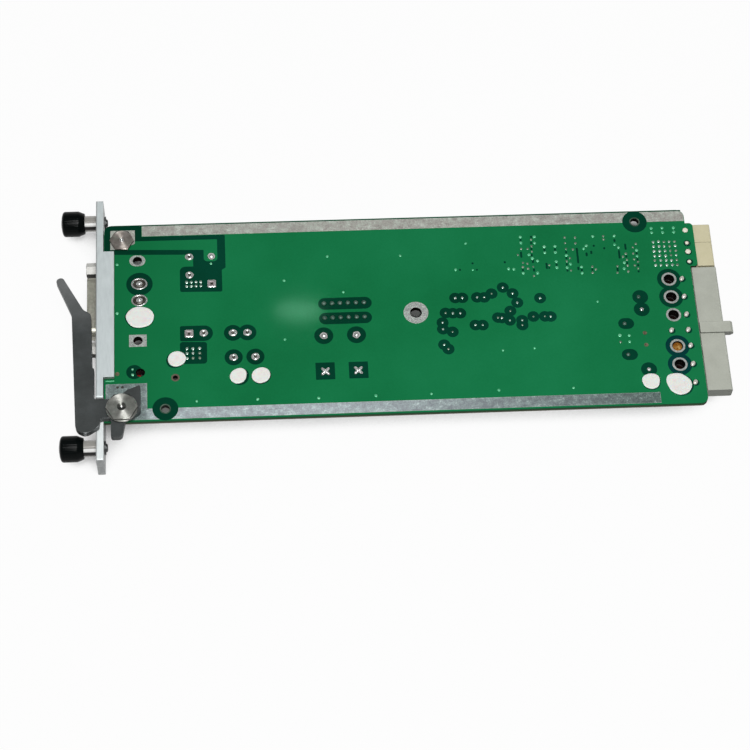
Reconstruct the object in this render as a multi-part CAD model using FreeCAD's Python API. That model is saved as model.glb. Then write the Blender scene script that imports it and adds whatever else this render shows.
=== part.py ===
"""Power transfer board: a plug-in chassis board with front panel, ejector lever and backplane plugs.

Millimetres. While modelling, X runs back from the board's front edge, Y across the board from its
middle, and Z up from the solder face, which looks up. At the end everything is moved so that the
origin is at the middle of the bottom of the whole assembly.
"""
import math
import os

import FreeCAD
import Part

Vector = FreeCAD.Vector

# Circuit board
board_length = 215.0
board_width = 81.0
board_thickness = 2.0
front_corner_radius = 3.0
rear_upper_radius = 3.0
rear_lower_radius = 2.5
tab_reach = 2.8
tab_bottom_y = 16.1
tab_top_y = 34.6
tab_corner_radius = 1.6

# Tinned copper on the solder face
tin_thickness = 0.08
strip_width = 4.3
strip_margin = 0.6
upper_strip_start = 13.8
upper_strip_inset = 0.2
upper_strip_radius = 2.5
lower_strip_inset = 17.0
pivot_land_start = 0.6
pivot_land_end = 15.2
pivot_land_above = 11.2
upper_land_start = 2.3
upper_land_end = 11.2
upper_land_from_edge = 2.2
upper_land_width = 8.1
upper_land_cut_x = 4.7
upper_land_cut_y = 2.4
keepout_radius = 4.6
upper_keepout_inset = 18.7
lower_keepout_x = 21.6
keepout_from_edge = 4.7
tooling_hole_radius = 1.5

# Front panel
panel_thickness = 2.6
panel_gap = 0.2
panel_above_board = 9.8
panel_below_board = 14.5
panel_rise = 2.1
panel_drop = 12.4
panel_corner_radius = 0.6
panel_step_radius = 1.1
ledge_reach = 3.9
ledge_above_pivot = 13.2
ledge_below_screw = 5.4
ledge_lift = 0.4

# Ejector lever and its pivot screw
pivot_x = 6.45
pivot_from_edge = 3.9
lever_lift = 0.3
lever_thickness = 2.6
lever_side_gap = 0.8
lever_panel_gap = 0.5
lever_corner_radius = 1.0
pivot_radius = 3.0
pivot_clearance = 0.05
pivot_end_play = 0.1
arm_panel_gap = 1.2
arm_low_gap = 0.5
arm_step_y = -20.5
arm_step_radius = 0.5
arm_width = 6.4
arm_top_y = 2.0
arm_taper = 0.5
arm_bend_lean = 1.0
arm_bend_radius = 6.0
shoulder_rise = 1.6
shoulder_radius = 3.0
shoulder_inner_radius = 2.0
tip_x = -16.1
tip_y = 17.0
tip_width = 2.8
tip_radius = 1.35
neck_above_pivot = 4.0
neck_below_pivot = 3.6
plate_reach = 6.5
plate_top = 9.2
plate_bottom = 1.5
plate_slope_start = 2.0
plate_slope_drop = 1.8
plate_low_radius = 1.8
plate_high_radius = 0.5
toe_left = 3.85
toe_right = 0.7
toe_depth = 11.1
toe_flare = 1.25
toe_heel_drop = 2.5
toe_heel_radius = 1.6
claw_gap = 3.8
claw_corner_radius = 0.8
lobe_depth = 9.3
lobe_heel_inset = 0.6
lobe_heel_rise = 1.4
lobe_heel_radius = 3.4
lobe_foot_x = 4.2
lobe_foot_drop = 0.4
lobe_foot_radius = 3.0
lobe_tip_inset = 0.4
lobe_tip_rise = 2.6
pivot_head_flats = 9.8
pivot_head_height = 1.1
pivot_flange_radius = 5.6
pivot_flange_thickness = 0.6
pivot_thread_radius = 2.0
pivot_centre_radius = 1.6
pivot_centre_depth = 0.7

# Upper hexagon screw
upper_screw_x = 6.45
upper_screw_from_edge = 6.7
upper_screw_flats = 7.8
upper_screw_height = 0.9
upper_screw_thread_radius = 1.5
upper_screw_centre_radius = 0.6
upper_screw_turn = -2.0
screw_clearance = 0.15
thread_clearance = 0.02
screw_end_gap = 0.3

# Brackets between the panel and the board
bracket_length = 12.6
bracket_width = 8.2
bracket_height = 8.4
bracket_chamfer = 1.4
lower_foot_inset = 1.2
lower_foot_thickness = 2.0
lower_block_from_pivot = 2.2
panel_screw_below = 4.4
panel_screw_radius = 1.5
panel_screw_head_radius = 2.8
panel_screw_head_height = 1.6
panel_screw_length = 8.0

# Captive thumbscrews
thumb_drop = 6.0
upper_thumb_from_end = 4.9
lower_thumb_from_end = 7.5
knob_radius = 4.7
knob_end_wall = 2.3
knob_end_rounding = 1.0
knob_taper_length = 2.2
knob_mouth_radius = 3.75
knob_stop_gap = 0.4
knob_floor_gap = 0.4
knob_sleeve_gap = 0.15
sleeve_radius = 2.9
sleeve_overlap = 1.8
sleeve_spigot_radius = 2.45
sleeve_wall = 0.65
sleeve_floor = 1.4
thumb_shank_radius = 1.5
thumb_shank_clearance = 0.1
thumb_tip_reach = 1.2
ring_radius = 2.5
ring_thickness = 0.5
ring_groove_depth = 0.35
ring_play = 0.05
thumb_travel = 4.2
spring_wire = 0.4
spring_turns = 6

# Power inlet: D-shaped shell, flange, insulator, contacts and jackscrews
inlet_from_edge = 31.9
inlet_board_gap = 0.1
inlet_screw_spacing = 33.3
inlet_flange_margin = 2.95
inlet_flange_height = 12.5
inlet_flange_thickness = 0.9
inlet_flange_radius = 1.6
inlet_shell_length = 25.0
inlet_shell_height = 8.4
inlet_shell_slant = 0.75
inlet_shell_radius = 2.4
inlet_shell_wall = 0.5
inlet_shell_depth = 6.1
inlet_opening_gap = 0.35
inlet_notch_gap = 0.3
inlet_body_length = 10.2
inlet_body_width = 22.4
inlet_body_height = 7.8
inlet_contact_pitch = 6.86
inlet_contact_radius = 1.8
inlet_pin_setback = 1.0
inlet_neck_radius = 1.5
inlet_tail_radius = 1.2
inlet_tail_x = 12.7
inlet_foot_x = 12.1
inlet_foot_width = 8.6
inlet_foot_length = 15.6
inlet_foot_thickness = 1.2
inlet_upright_thickness = 2.2
inlet_bend_radius = 1.0
inlet_foot_hole_radius = 1.9
inlet_board_hole_radius = 1.7
jackscrew_flats = 4.75
jackscrew_reach = 4.0
jackscrew_turn = 0.0
jackscrew_stud_radius = 1.4
jackscrew_socket_radius = 1.15
jackscrew_socket_depth = 5.0

# Indicator lamp
lamp_y = -21.0
lamp_below = 3.0
lamp_radius = 1.5
lamp_panel_gap = 0.1
lamp_proud = 0.5
lamp_holder_start = 2.2
lamp_holder_length = 12.6
lamp_holder_width = 4.8
lamp_holder_height = 5.8
lamp_window_x = 12.9
lamp_window_radius = 1.65

# Backplane power connector
power_front_inset = 11.6
power_reach = 9.6
power_top_y = 16.0
power_bottom_y = -35.0
power_crest_drop = 0.9
power_below = 3.8
power_edge_gap = 0.5
power_chamfer = 0.7
power_contact_inset = 8.6
power_contact_pitch = 7.5
power_first_y = 10.8
power_second_y = -17.1
power_slot_width = 3.4
power_slot_height = 3.0
power_slot_depth = 7.0
power_blade_thickness = 1.2
power_blade_height = 2.0
power_blade_setback = 1.7
power_post_radius = 1.7
power_post_foot = 0.8
power_hole_radius = 2.0
power_long_post_drop = 0.5
power_short_post_drop = 3.9
power_tail_inset = 3.9
key_y = -9.6
key_width = 4.4
key_rise = 0.9
key_reach = 3.0
key_drop = 1.8
key_chamfer = 0.9

# Backplane signal connector, two modules
signal_front_inset = 6.0
signal_reach = 6.6
signal_crest_drop = 1.1
signal_below = 8.2
signal_upper_top_y = 34.4
signal_split_y = 26.8
signal_bottom_y = 16.8
signal_gap = 0.1
signal_edge_gap = 0.2
signal_pitch = 2.0
signal_margin = 0.9
signal_hole = 0.9
signal_hole_depth = 2.4
signal_rows = 4
signal_pin_width = 0.5
signal_pin_bury = 0.8
peg_inset = 0.2
peg_radius = 0.7
peg_hole_gap = 0.05

# Holes, pads and soldered pins
centre_hole_x = 112.6
centre_hole_y = 0.0
centre_hole_radius = 2.15
centre_ring_radius = 4.5
brown_hole_x = 25.3
brown_hole_y = -23.5
brown_hole_radius = 0.9
brown_ring_radius = 1.5
inlet_pad_half_x = 2.9
inlet_pad_half_y = 2.3
inlet_square_half_x = 3.15
inlet_square_half_y = 2.45
power_ring_radius = 2.75
solder_big = (2.6, 1.0, 1.4)
solder_middle = (1.5, 0.7, 1.2)
solder_small = (0.9, 0.45, 0.9)
solder_cone_share = 0.6
dab_height = 0.5
dab_edge = 0.35
rear_dab_inset = 9.6

# Parts on the component face
rear_can_inset = 20.0
rear_film_inset = 26.3
can_radius = 5.0
can_height = 9.6
can_bead_drop = 1.6
can_bead_depth = 0.35
film_thickness = 5.0
film_height = 9.4
film_overhang = 1.4
film_rounding = 0.5
disc_radius = 4.4
disc_thickness = 3.6
disc_lift = 0.6
disc_edge = 1.0
disc_lead_radius = 0.4
disc_lead_rise = 1.3
choke_x = 86.7
choke_y = 2.0
choke_pin_pitch = 2.9
choke_row_spacing = 6.0
choke_length = 21.0
choke_yoke = 3.0
choke_leg = 2.6
choke_window = 3.4
choke_centre_leg = 5.0
choke_core_height = 6.0
choke_base_height = 0.8
choke_winding_gap = 0.2
choke_winding_wall = 1.5
choke_winding_radius = 1.2
choke_base_margin = 1.5
ring_choke_x = 84.7
ring_choke_y = -15.6
ring_choke_pin_x = 11.8
ring_choke_pin_y = 14.5
ring_core_outer = 7.4
ring_core_inner = 3.6
ring_core_height = 6.6
ring_base_height = 1.2
ring_base_margin = 1.6
ring_base_radius = 1.0
ring_winding_wall = 0.8
ring_winding_gap = 0.05
ring_winding_angle = 130.0
transistor_length = 9.0
transistor_width = 10.0
transistor_height = 4.4
transistor_tab = 2.4
transistor_tab_height = 1.3
transistor_lead = 4.0
transistor_lead_width = 0.8
transistor_lead_pitch = 5.08
chip_height = 1.7
chip_width = 4.0
chip_lead_reach = 1.1
chip_lead_width = 0.4
chip_lead_pitch = 1.27
chip_lead_height = 0.6

# Places that follow from the sizes
half_width = board_width / 2
board_under = -board_thickness
panel_back = -panel_gap
panel_front = panel_back - panel_thickness
panel_top = half_width + panel_above_board
panel_bottom = -half_width - panel_below_board
panel_low = lever_lift - lever_panel_gap
panel_screw_z = board_under - panel_screw_below
thumb_z = -thumb_drop
inlet_z = board_under - inlet_board_gap - inlet_body_height / 2
lamp_z = board_under - lamp_below
pivot_y = -half_width + pivot_from_edge
pivot_land_top_y = pivot_y + pivot_land_above
upper_screw_y = half_width - upper_screw_from_edge
ledge_bottom_y = pivot_y + ledge_above_pivot
ledge_top_y = upper_screw_y - ledge_below_screw
lower_block_y = pivot_y + lower_block_from_pivot
panel_screw_ys = (upper_screw_y, lower_block_y + bracket_width / 2)
inlet_y = half_width - inlet_from_edge
upper_thumb_y = panel_top - upper_thumb_from_end
lower_thumb_y = panel_bottom + lower_thumb_from_end
upper_strip_end = board_length - upper_strip_inset
lower_strip_end = board_length - lower_strip_inset
upper_keepout_x = board_length - upper_keepout_inset
lever_top = lever_lift + lever_thickness
neck_top = pivot_y + neck_above_pivot
neck_bottom = pivot_y - neck_below_pivot
panel_step_y = neck_top + lever_side_gap
keepout_upper_y = half_width - keepout_from_edge
keepout_lower_y = -half_width + keepout_from_edge
knob_mouth_x = panel_front - thumb_travel - knob_stop_gap
knob_end_x = knob_mouth_x - sleeve_overlap - thumb_travel - knob_floor_gap - knob_end_wall
sleeve_end_x = knob_mouth_x - sleeve_overlap
inlet_front = panel_back
inlet_flange_length = inlet_screw_spacing + 2 * inlet_flange_margin
inlet_flange_back = inlet_front + inlet_flange_thickness
inlet_screw_ys = (inlet_y - inlet_screw_spacing / 2, inlet_y + inlet_screw_spacing / 2)
inlet_contact_ys = [inlet_y + step * inlet_contact_pitch for step in (-1, 0, 1)]
power_front_x = board_length - power_front_inset
power_contact_x = board_length - power_contact_inset
power_tail_x = board_length - power_tail_inset
power_back = board_length + power_reach
power_crest = -power_crest_drop
power_floor = board_under - power_below
power_slot_z = (power_crest + power_floor) / 2
power_ys = [
    first - step * power_contact_pitch for first in (power_first_y, power_second_y) for step in range(3)
]
signal_front_x = board_length - signal_front_inset
signal_back = board_length + tab_reach + signal_reach
peg_x = board_length - peg_inset
signal_crest = -signal_crest_drop
signal_floor = board_under - signal_below
signal_modules = {
    "upper": (signal_split_y + signal_gap / 2, signal_upper_top_y),
    "lower": (signal_bottom_y, signal_split_y - signal_gap / 2),
}
peg_ys = {"upper": (31.5,), "lower": (26.0, 22.3, 18.0)}
choke_pin_xs = [choke_x + (step - 2.5) * choke_pin_pitch for step in range(6)]
choke_row_ys = (choke_y - choke_row_spacing / 2, choke_y + choke_row_spacing / 2)
ring_choke_pins = [
    (ring_choke_x + side * ring_choke_pin_x / 2, ring_choke_y + end * ring_choke_pin_y / 2)
    for side in (-1, 1)
    for end in (-1, 1)
]

# Two-lead parts: the places of their two leads on the board
rear_can_x = board_length - rear_can_inset
rear_film_x = board_length - rear_film_inset
can_leads = [
    ((30.5, -5.6), (35.7, -5.6)),
    ((rear_can_x, 3.7), (rear_can_x, -1.5)),
    ((rear_can_x, -26.3), (rear_can_x, -30.9)),
]
film_leads = [
    ((46.2, -6.0), (51.4, -6.0)),
    ((46.2, -16.0), (54.0, -16.0)),
    ((47.5, -23.2), (55.6, -23.2)),
    ((25.4, -15.6), (25.4, -23.5)),
    ((rear_film_x, -7.2), (rear_film_x, -20.0)),
]
disc_leads = [((31.0, 26.3), (31.0, 18.6)), ((39.1, 26.3), (39.1, 14.7))]
transistor_places = [(127.0, -4.0), (147.0, 2.0)]
chip_places = [(160.0, 22.0), (178.0, 21.0)]
chip_leads_per_side = (4, 8)

# White dabs: place and radius
dabs = [
    (12.6, inlet_contact_ys[0], 4.2),
    (25.6, -15.6, 2.9),
    (47.5, -23.2, 2.75),
    (55.6, -23.2, 3.1),
    (rear_can_x, -30.9, 3.0),
    (board_length - rear_dab_inset, -32.2, 4.4),
]


def box(x0, x1, y0, y1, z0, z1):
    return Part.makeBox(x1 - x0, y1 - y0, z1 - z0, Vector(x0, y0, z0))


def rod(radius, start, end):
    """A cylinder from one point to another."""
    way = end - start
    return Part.makeCylinder(radius, way.Length, start, way)


def upright(radius, x, y, z0, z1):
    return rod(radius, Vector(x, y, z0), Vector(x, y, z1))


def along_x(radius, x0, x1, y, z):
    return rod(radius, Vector(x0, y, z), Vector(x1, y, z))


def rounded_wire(corners, lift):
    """A closed wire through (a, b, radius) corners, each rounded by an arc no longer than its sides allow.

    lift places a point (a, b) in space.
    """
    count = len(corners)
    starts = []
    ends = []
    middles = []
    for index in range(count):
        a, b, radius = corners[index]
        before = corners[index - 1]
        after = corners[(index + 1) % count]
        here = Vector(a, b, 0)
        into = Vector(before[0], before[1], 0) - here
        out = Vector(after[0], after[1], 0) - here
        room = min(into.Length, out.Length) / 2
        into.normalize()
        out.normalize()
        if radius == 0:
            starts.append(here)
            ends.append(here)
            middles.append(None)
            continue
        half = into.getAngle(out) / 2
        run = min(radius / math.tan(half), room)
        radius = run * math.tan(half)
        bisector = into + out
        bisector.normalize()
        starts.append(here + into * run)
        ends.append(here + out * run)
        middles.append(here + bisector * (radius / math.sin(half) - radius))
    edges = []
    for index in range(count):
        if middles[index]:
            arc = Part.Arc(lift(starts[index]), lift(middles[index]), lift(ends[index]))
            edges.append(arc.toShape())
        following = starts[(index + 1) % count]
        if (following - ends[index]).Length > 1e-6:
            edges.append(Part.LineSegment(lift(ends[index]), lift(following)).toShape())
    return Part.Wire(edges)


def flat_prism(corners, z0, z1):
    """An outline in X and Y, raised from z0 to z1."""
    wire = rounded_wire(corners, lambda p: Vector(p.x, p.y, z0))
    return Part.Face(wire).extrude(Vector(0, 0, z1 - z0))


def cross_prism(corners, x0, x1):
    """An outline in Y and Z, drawn out from x0 to x1."""
    wire = rounded_wire(corners, lambda p: Vector(x0, p.x, p.y))
    return Part.Face(wire).extrude(Vector(x1 - x0, 0, 0))


def side_prism(corners, y0, y1):
    """An outline in X and Z, drawn out from y0 to y1."""
    wire = rounded_wire(corners, lambda p: Vector(p.x, y0, p.y))
    return Part.Face(wire).extrude(Vector(0, y1 - y0, 0))


def turned(profile, origin, axis):
    """A solid of revolution: profile is (distance along the axis, radius, corner's rounding if any)."""
    corners = [(along, radius, rounding[0] if rounding else 0) for along, radius, *rounding in profile]
    wire = rounded_wire(corners, lambda p: Vector(p.y, 0, p.x))
    solid = Part.Face(wire).revolve(Vector(0, 0, 0), Vector(0, 0, 1), 360)
    turn = FreeCAD.Rotation(Vector(0, 0, 1), axis)
    solid.Placement = FreeCAD.Placement(origin, turn)
    return solid


def hexagon(flats, origin, axis, length, spin=0.0):
    """A hexagonal bar with its top corners turned off."""
    corner = flats / math.sqrt(3)
    points = []
    for step in range(7):
        angle = math.radians(60 * step + spin)
        points.append(Vector(corner * math.cos(angle), corner * math.sin(angle), 0))
    bar = Part.Face(Part.makePolygon(points)).extrude(Vector(0, 0, length))
    bar.Placement = FreeCAD.Placement(origin, FreeCAD.Rotation(Vector(0, 0, 1), axis))
    shy = (corner - flats / 2) * math.tan(math.radians(30))
    round_end = [(0, 0), (0, corner + 1), (length - shy, corner), (length, flats / 2), (length, 0)]
    return bar.common(turned(round_end, origin, axis))


def fused(shapes):
    first = shapes[0]
    if len(shapes) == 1:
        return first
    return first.multiFuse(shapes[1:]).removeSplitter()


def cut_all(shape, tools):
    return shape.cut(Part.makeCompound(tools))


def group(shapes):
    return Part.makeCompound(shapes)


UP = Vector(0, 0, 1)
BACK = Vector(1, 0, 0)
FORWARD = Vector(-1, 0, 0)


def make_circuit_board():
    notch_low = inlet_y - inlet_flange_length / 2 - inlet_notch_gap
    notch_high = inlet_y + inlet_flange_length / 2 + inlet_notch_gap
    notch_x = inlet_flange_back + inlet_notch_gap
    tab_x = board_length + tab_reach
    corners = [
        (0, half_width, front_corner_radius),
        (0, notch_high, 0),
        (notch_x, notch_high, 0),
        (notch_x, notch_low, 0),
        (0, notch_low, 0),
        (0, -half_width, 0),
        (board_length, -half_width, rear_lower_radius),
        (board_length, tab_bottom_y, 0),
        (tab_x, tab_bottom_y, tab_corner_radius),
        (tab_x, tab_top_y, tab_corner_radius),
        (board_length, tab_top_y, 0),
        (board_length, half_width, rear_upper_radius),
    ]
    board = flat_prism(corners, board_under, 0)

    def hole(radius, x, y):
        return upright(radius, x, y, board_under - 1, 1)

    holes = [
        hole(centre_hole_radius, centre_hole_x, centre_hole_y),
        hole(brown_hole_radius, brown_hole_x, brown_hole_y),
        hole(tooling_hole_radius, upper_keepout_x, keepout_upper_y),
        hole(tooling_hole_radius, lower_keepout_x, keepout_lower_y),
        hole(lamp_window_radius, lamp_window_x, lamp_y),
        hole(pivot_thread_radius + screw_clearance, pivot_x, pivot_y),
        hole(upper_screw_thread_radius + screw_clearance, upper_screw_x, upper_screw_y),
    ]
    holes += [hole(inlet_board_hole_radius, inlet_foot_x, y) for y in inlet_screw_ys]
    holes += [hole(power_hole_radius, power_contact_x, y) for y in power_ys]
    holes += [hole(peg_radius + peg_hole_gap, peg_x, y) for ys in peg_ys.values() for y in ys]
    return cut_all(board, holes)


def make_ground_strips():
    """Tinned copper along both long edges, with the land under the lever and the one under the screw."""
    outer = half_width - strip_margin
    inner = outer - strip_width
    upper_corners = [
        (upper_strip_start, outer, 0),
        (upper_strip_start, inner, 0),
        (upper_strip_end, inner, 0),
        (upper_strip_end, outer, upper_strip_radius),
    ]
    upper = flat_prism(upper_corners, 0, tin_thickness)
    lower_corners = [
        (pivot_land_start, pivot_land_top_y, 0),
        (pivot_land_start, -outer, 0),
        (lower_strip_end, -outer, 0),
        (lower_strip_end, -inner, 0),
        (pivot_land_end, -inner, 0),
        (pivot_land_end, pivot_land_top_y, 0),
    ]
    lower = flat_prism(lower_corners, 0, tin_thickness)
    land_top = half_width - upper_land_from_edge
    land_bottom = land_top - upper_land_width
    land_corners = [
        (upper_land_start, land_top, 0),
        (upper_land_start, land_bottom, 0),
        (upper_land_end - upper_land_cut_x, land_bottom, 0),
        (upper_land_end, land_bottom + upper_land_cut_y, 0),
        (upper_land_end, land_top, 0),
    ]
    land = flat_prism(land_corners, 0, tin_thickness)
    holes = [
        upright(keepout_radius, upper_keepout_x, keepout_upper_y, -1, 1),
        upright(keepout_radius, lower_keepout_x, keepout_lower_y, -1, 1),
        upright(pivot_thread_radius + screw_clearance, pivot_x, pivot_y, -1, 1),
        upright(upper_screw_thread_radius + screw_clearance, upper_screw_x, upper_screw_y, -1, 1),
    ]
    return group([cut_all(piece, holes) for piece in (upper, lower, land)])


def make_tinned_rings():
    """Tinned rings and pads round the open holes."""

    def ring(outer, inner, x, y):
        return upright(outer, x, y, 0, tin_thickness).cut(upright(inner, x, y, -1, 1))

    def inlet_pad(y, half_x, half_y, rounding):
        corners = [
            (inlet_foot_x - half_x, y - half_y, rounding),
            (inlet_foot_x + half_x, y - half_y, rounding),
            (inlet_foot_x + half_x, y + half_y, rounding),
            (inlet_foot_x - half_x, y + half_y, rounding),
        ]
        pad = flat_prism(corners, 0, tin_thickness)
        return pad.cut(upright(inlet_board_hole_radius, inlet_foot_x, y, -1, 1))

    rings = [
        ring(centre_ring_radius, centre_hole_radius, centre_hole_x, centre_hole_y),
        ring(brown_ring_radius, brown_hole_radius, brown_hole_x, brown_hole_y),
        inlet_pad(inlet_screw_ys[0], inlet_square_half_x, inlet_square_half_y, 0),
        inlet_pad(inlet_screw_ys[1], inlet_pad_half_x, inlet_pad_half_y, inlet_pad_half_y),
    ]
    rings += [ring(power_ring_radius, power_hole_radius, power_contact_x, y) for y in power_ys[:5]]
    return group(rings)


def soldered_pin(size, x, y):
    """A solder cone on a round pad, with the pin's end standing out of it."""
    pad, pin, height = size
    cone_top = height * solder_cone_share
    profile = [(0, 0), (0, pad), (cone_top, pin), (height, pin), (height, 0)]
    return turned(profile, Vector(x, y, 0), UP)


def make_solder_joints():
    joints = [soldered_pin(solder_big, inlet_tail_x, y) for y in inlet_contact_ys[1:]]
    joints += [soldered_pin(solder_small, x, y) for x in choke_pin_xs for y in choke_row_ys]
    joints += [soldered_pin(solder_middle, x, y) for x, y in ring_choke_pins]
    joints += [soldered_pin(solder_small, power_tail_x, y) for y in power_ys]
    covered = {(x, y) for x, y, radius in dabs}
    places = [place for pair in can_leads + film_leads + disc_leads for place in pair]
    for x, y in places:
        near_dab = any(math.hypot(x - dab_x, y - dab_y) < 1 for dab_x, dab_y in covered)
        on_ring = math.hypot(x - brown_hole_x, y - brown_hole_y) < 1
        if not near_dab and not on_ring:
            joints.append(soldered_pin(solder_middle, x, y))
    return group(joints)


def make_white_dabs():
    """Low flat dabs with bevelled rims over the pins that are insulated."""

    def dab(x, y, radius):
        profile = [
            (0, 0),
            (0, radius),
            (dab_height - dab_edge, radius),
            (dab_height, radius - dab_edge),
            (dab_height, 0),
        ]
        return turned(profile, Vector(x, y, 0), UP)

    return group([dab(*place) for place in dabs])


def d_outline(length, height, slant, radius, y, z):
    """The D-shaped outline of the inlet, wider towards the solder side."""
    return [
        (y - length / 2, z + height / 2, radius),
        (y + length / 2, z + height / 2, radius),
        (y + length / 2 - slant * 2, z - height / 2, radius),
        (y - length / 2 + slant * 2, z - height / 2, radius),
    ]


def make_front_panel():
    corners = [
        (panel_top, panel_rise, panel_corner_radius),
        (panel_top, -panel_drop, panel_corner_radius),
        (panel_bottom, -panel_drop, panel_corner_radius),
        (panel_bottom, panel_low, panel_corner_radius),
        (panel_step_y, panel_low, 0),
        (panel_step_y, panel_rise, panel_step_radius),
    ]
    plate = cross_prism(corners, panel_front, panel_back)
    ledge = box(panel_back, panel_back + ledge_reach, ledge_bottom_y, ledge_top_y, ledge_lift, panel_rise)
    panel = fused([plate, ledge])
    gap = inlet_opening_gap
    opening = d_outline(
        inlet_shell_length + 2 * gap,
        inlet_shell_height + 2 * gap,
        inlet_shell_slant,
        inlet_shell_radius + gap,
        inlet_y,
        inlet_z,
    )
    cuts = [cross_prism(opening, panel_front - 1, panel_back + 1)]
    for y in inlet_screw_ys:
        hole = jackscrew_stud_radius + screw_clearance
        cuts.append(along_x(hole, panel_front - 1, panel_back + 1, y, inlet_z))
    for y in (upper_thumb_y, lower_thumb_y):
        cuts.append(along_x(sleeve_spigot_radius, panel_front - 1, panel_back + 1, y, thumb_z))
    lamp_hole = lamp_radius + lamp_panel_gap
    cuts.append(along_x(lamp_hole, panel_front - 1, panel_back + 1, lamp_y, lamp_z))
    cuts += [panel_screw(y, screw_clearance) for y in panel_screw_ys]
    return cut_all(panel, cuts)


def panel_screw(y, grow):
    """A countersunk screw from the panel's front, or with grow the hole that it goes in."""
    head = panel_screw_head_radius + grow
    shank = panel_screw_radius + grow
    profile = [
        (0, 0),
        (0, head),
        (panel_screw_head_height, shank),
        (panel_screw_length, shank),
        (panel_screw_length, 0),
    ]
    return turned(profile, Vector(panel_front, y, panel_screw_z), BACK)


def make_bracket_screws():
    return group([panel_screw(y, 0) for y in panel_screw_ys])


def bracket_block(low_y, high_y):
    """A block behind the panel and under the board, its lower rear edge bevelled."""
    low = board_under - bracket_height
    end = panel_back + bracket_length
    corners = [
        (panel_back, board_under, 0),
        (end, board_under, 0),
        (end, low + bracket_chamfer * 2, bracket_chamfer),
        (end - bracket_chamfer * 2, low, bracket_chamfer),
        (panel_back, low, 0),
    ]
    return side_prism(corners, low_y, high_y)


def tapped(bracket, x, y, thread_radius, panel_screw_y):
    """The bracket with a thread for the board's screw and one for the panel's."""
    board_hole = upright(thread_radius + thread_clearance, x, y, board_under - bracket_height - 1, 1)
    hole = panel_screw_radius + thread_clearance
    hole_end = panel_front + panel_screw_length + 1
    panel_hole = along_x(hole, panel_back - 1, hole_end, panel_screw_y, panel_screw_z)
    return cut_all(bracket, [board_hole, panel_hole])


def make_upper_bracket():
    half = bracket_width / 2
    block = bracket_block(upper_screw_y - half, upper_screw_y + half)
    return tapped(block, upper_screw_x, upper_screw_y, upper_screw_thread_radius, panel_screw_ys[0])


def make_lower_bracket():
    """The same block set further in, with a thin foot out to the lever's pivot near the board's edge."""
    foot = box(
        panel_back,
        panel_back + bracket_length,
        lower_foot_inset - half_width,
        lower_block_y,
        board_under - lower_foot_thickness,
        board_under,
    )
    block = bracket_block(lower_block_y, lower_block_y + bracket_width)
    return tapped(fused([foot, block]), pivot_x, pivot_y, pivot_thread_radius, panel_screw_ys[1])


def upright_screw_end():
    """Where an upright screw ends, just above the panel's screw."""
    return panel_screw_z + panel_screw_radius + screw_end_gap


def make_lever_pivot_screw():
    """A shoulder screw: hexagon head with a flange, the lever's bearing, and the thread below."""
    seat = lever_top + pivot_end_play
    head_bottom = seat + pivot_flange_thickness
    thread_end = upright_screw_end()
    shaft = [
        (thread_end, 0),
        (thread_end, pivot_thread_radius),
        (tin_thickness, pivot_thread_radius),
        (tin_thickness, pivot_radius),
        (seat, pivot_radius),
        (seat, pivot_flange_radius),
        (head_bottom, pivot_flange_radius),
        (head_bottom, 0),
    ]
    base = Vector(pivot_x, pivot_y, 0)
    head = hexagon(pivot_head_flats, Vector(pivot_x, pivot_y, head_bottom), UP, pivot_head_height)
    top = head_bottom + pivot_head_height
    centre = [
        (top - pivot_centre_depth, 0),
        (top, pivot_centre_radius),
        (top + 1, pivot_centre_radius),
        (top + 1, 0),
    ]
    return fused([turned(shaft, base, UP), head]).cut(turned(centre, base, UP))


def make_upper_hex_screw():
    base = Vector(upper_screw_x, upper_screw_y, tin_thickness)
    head = hexagon(upper_screw_flats, base, UP, upper_screw_height, spin=upper_screw_turn)
    thread = upright(
        upper_screw_thread_radius, upper_screw_x, upper_screw_y, upright_screw_end(), tin_thickness
    )
    top = tin_thickness + upper_screw_height
    dimple = Part.makeSphere(upper_screw_centre_radius, Vector(upper_screw_x, upper_screw_y, top))
    return fused([head, thread]).cut(dimple)


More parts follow.
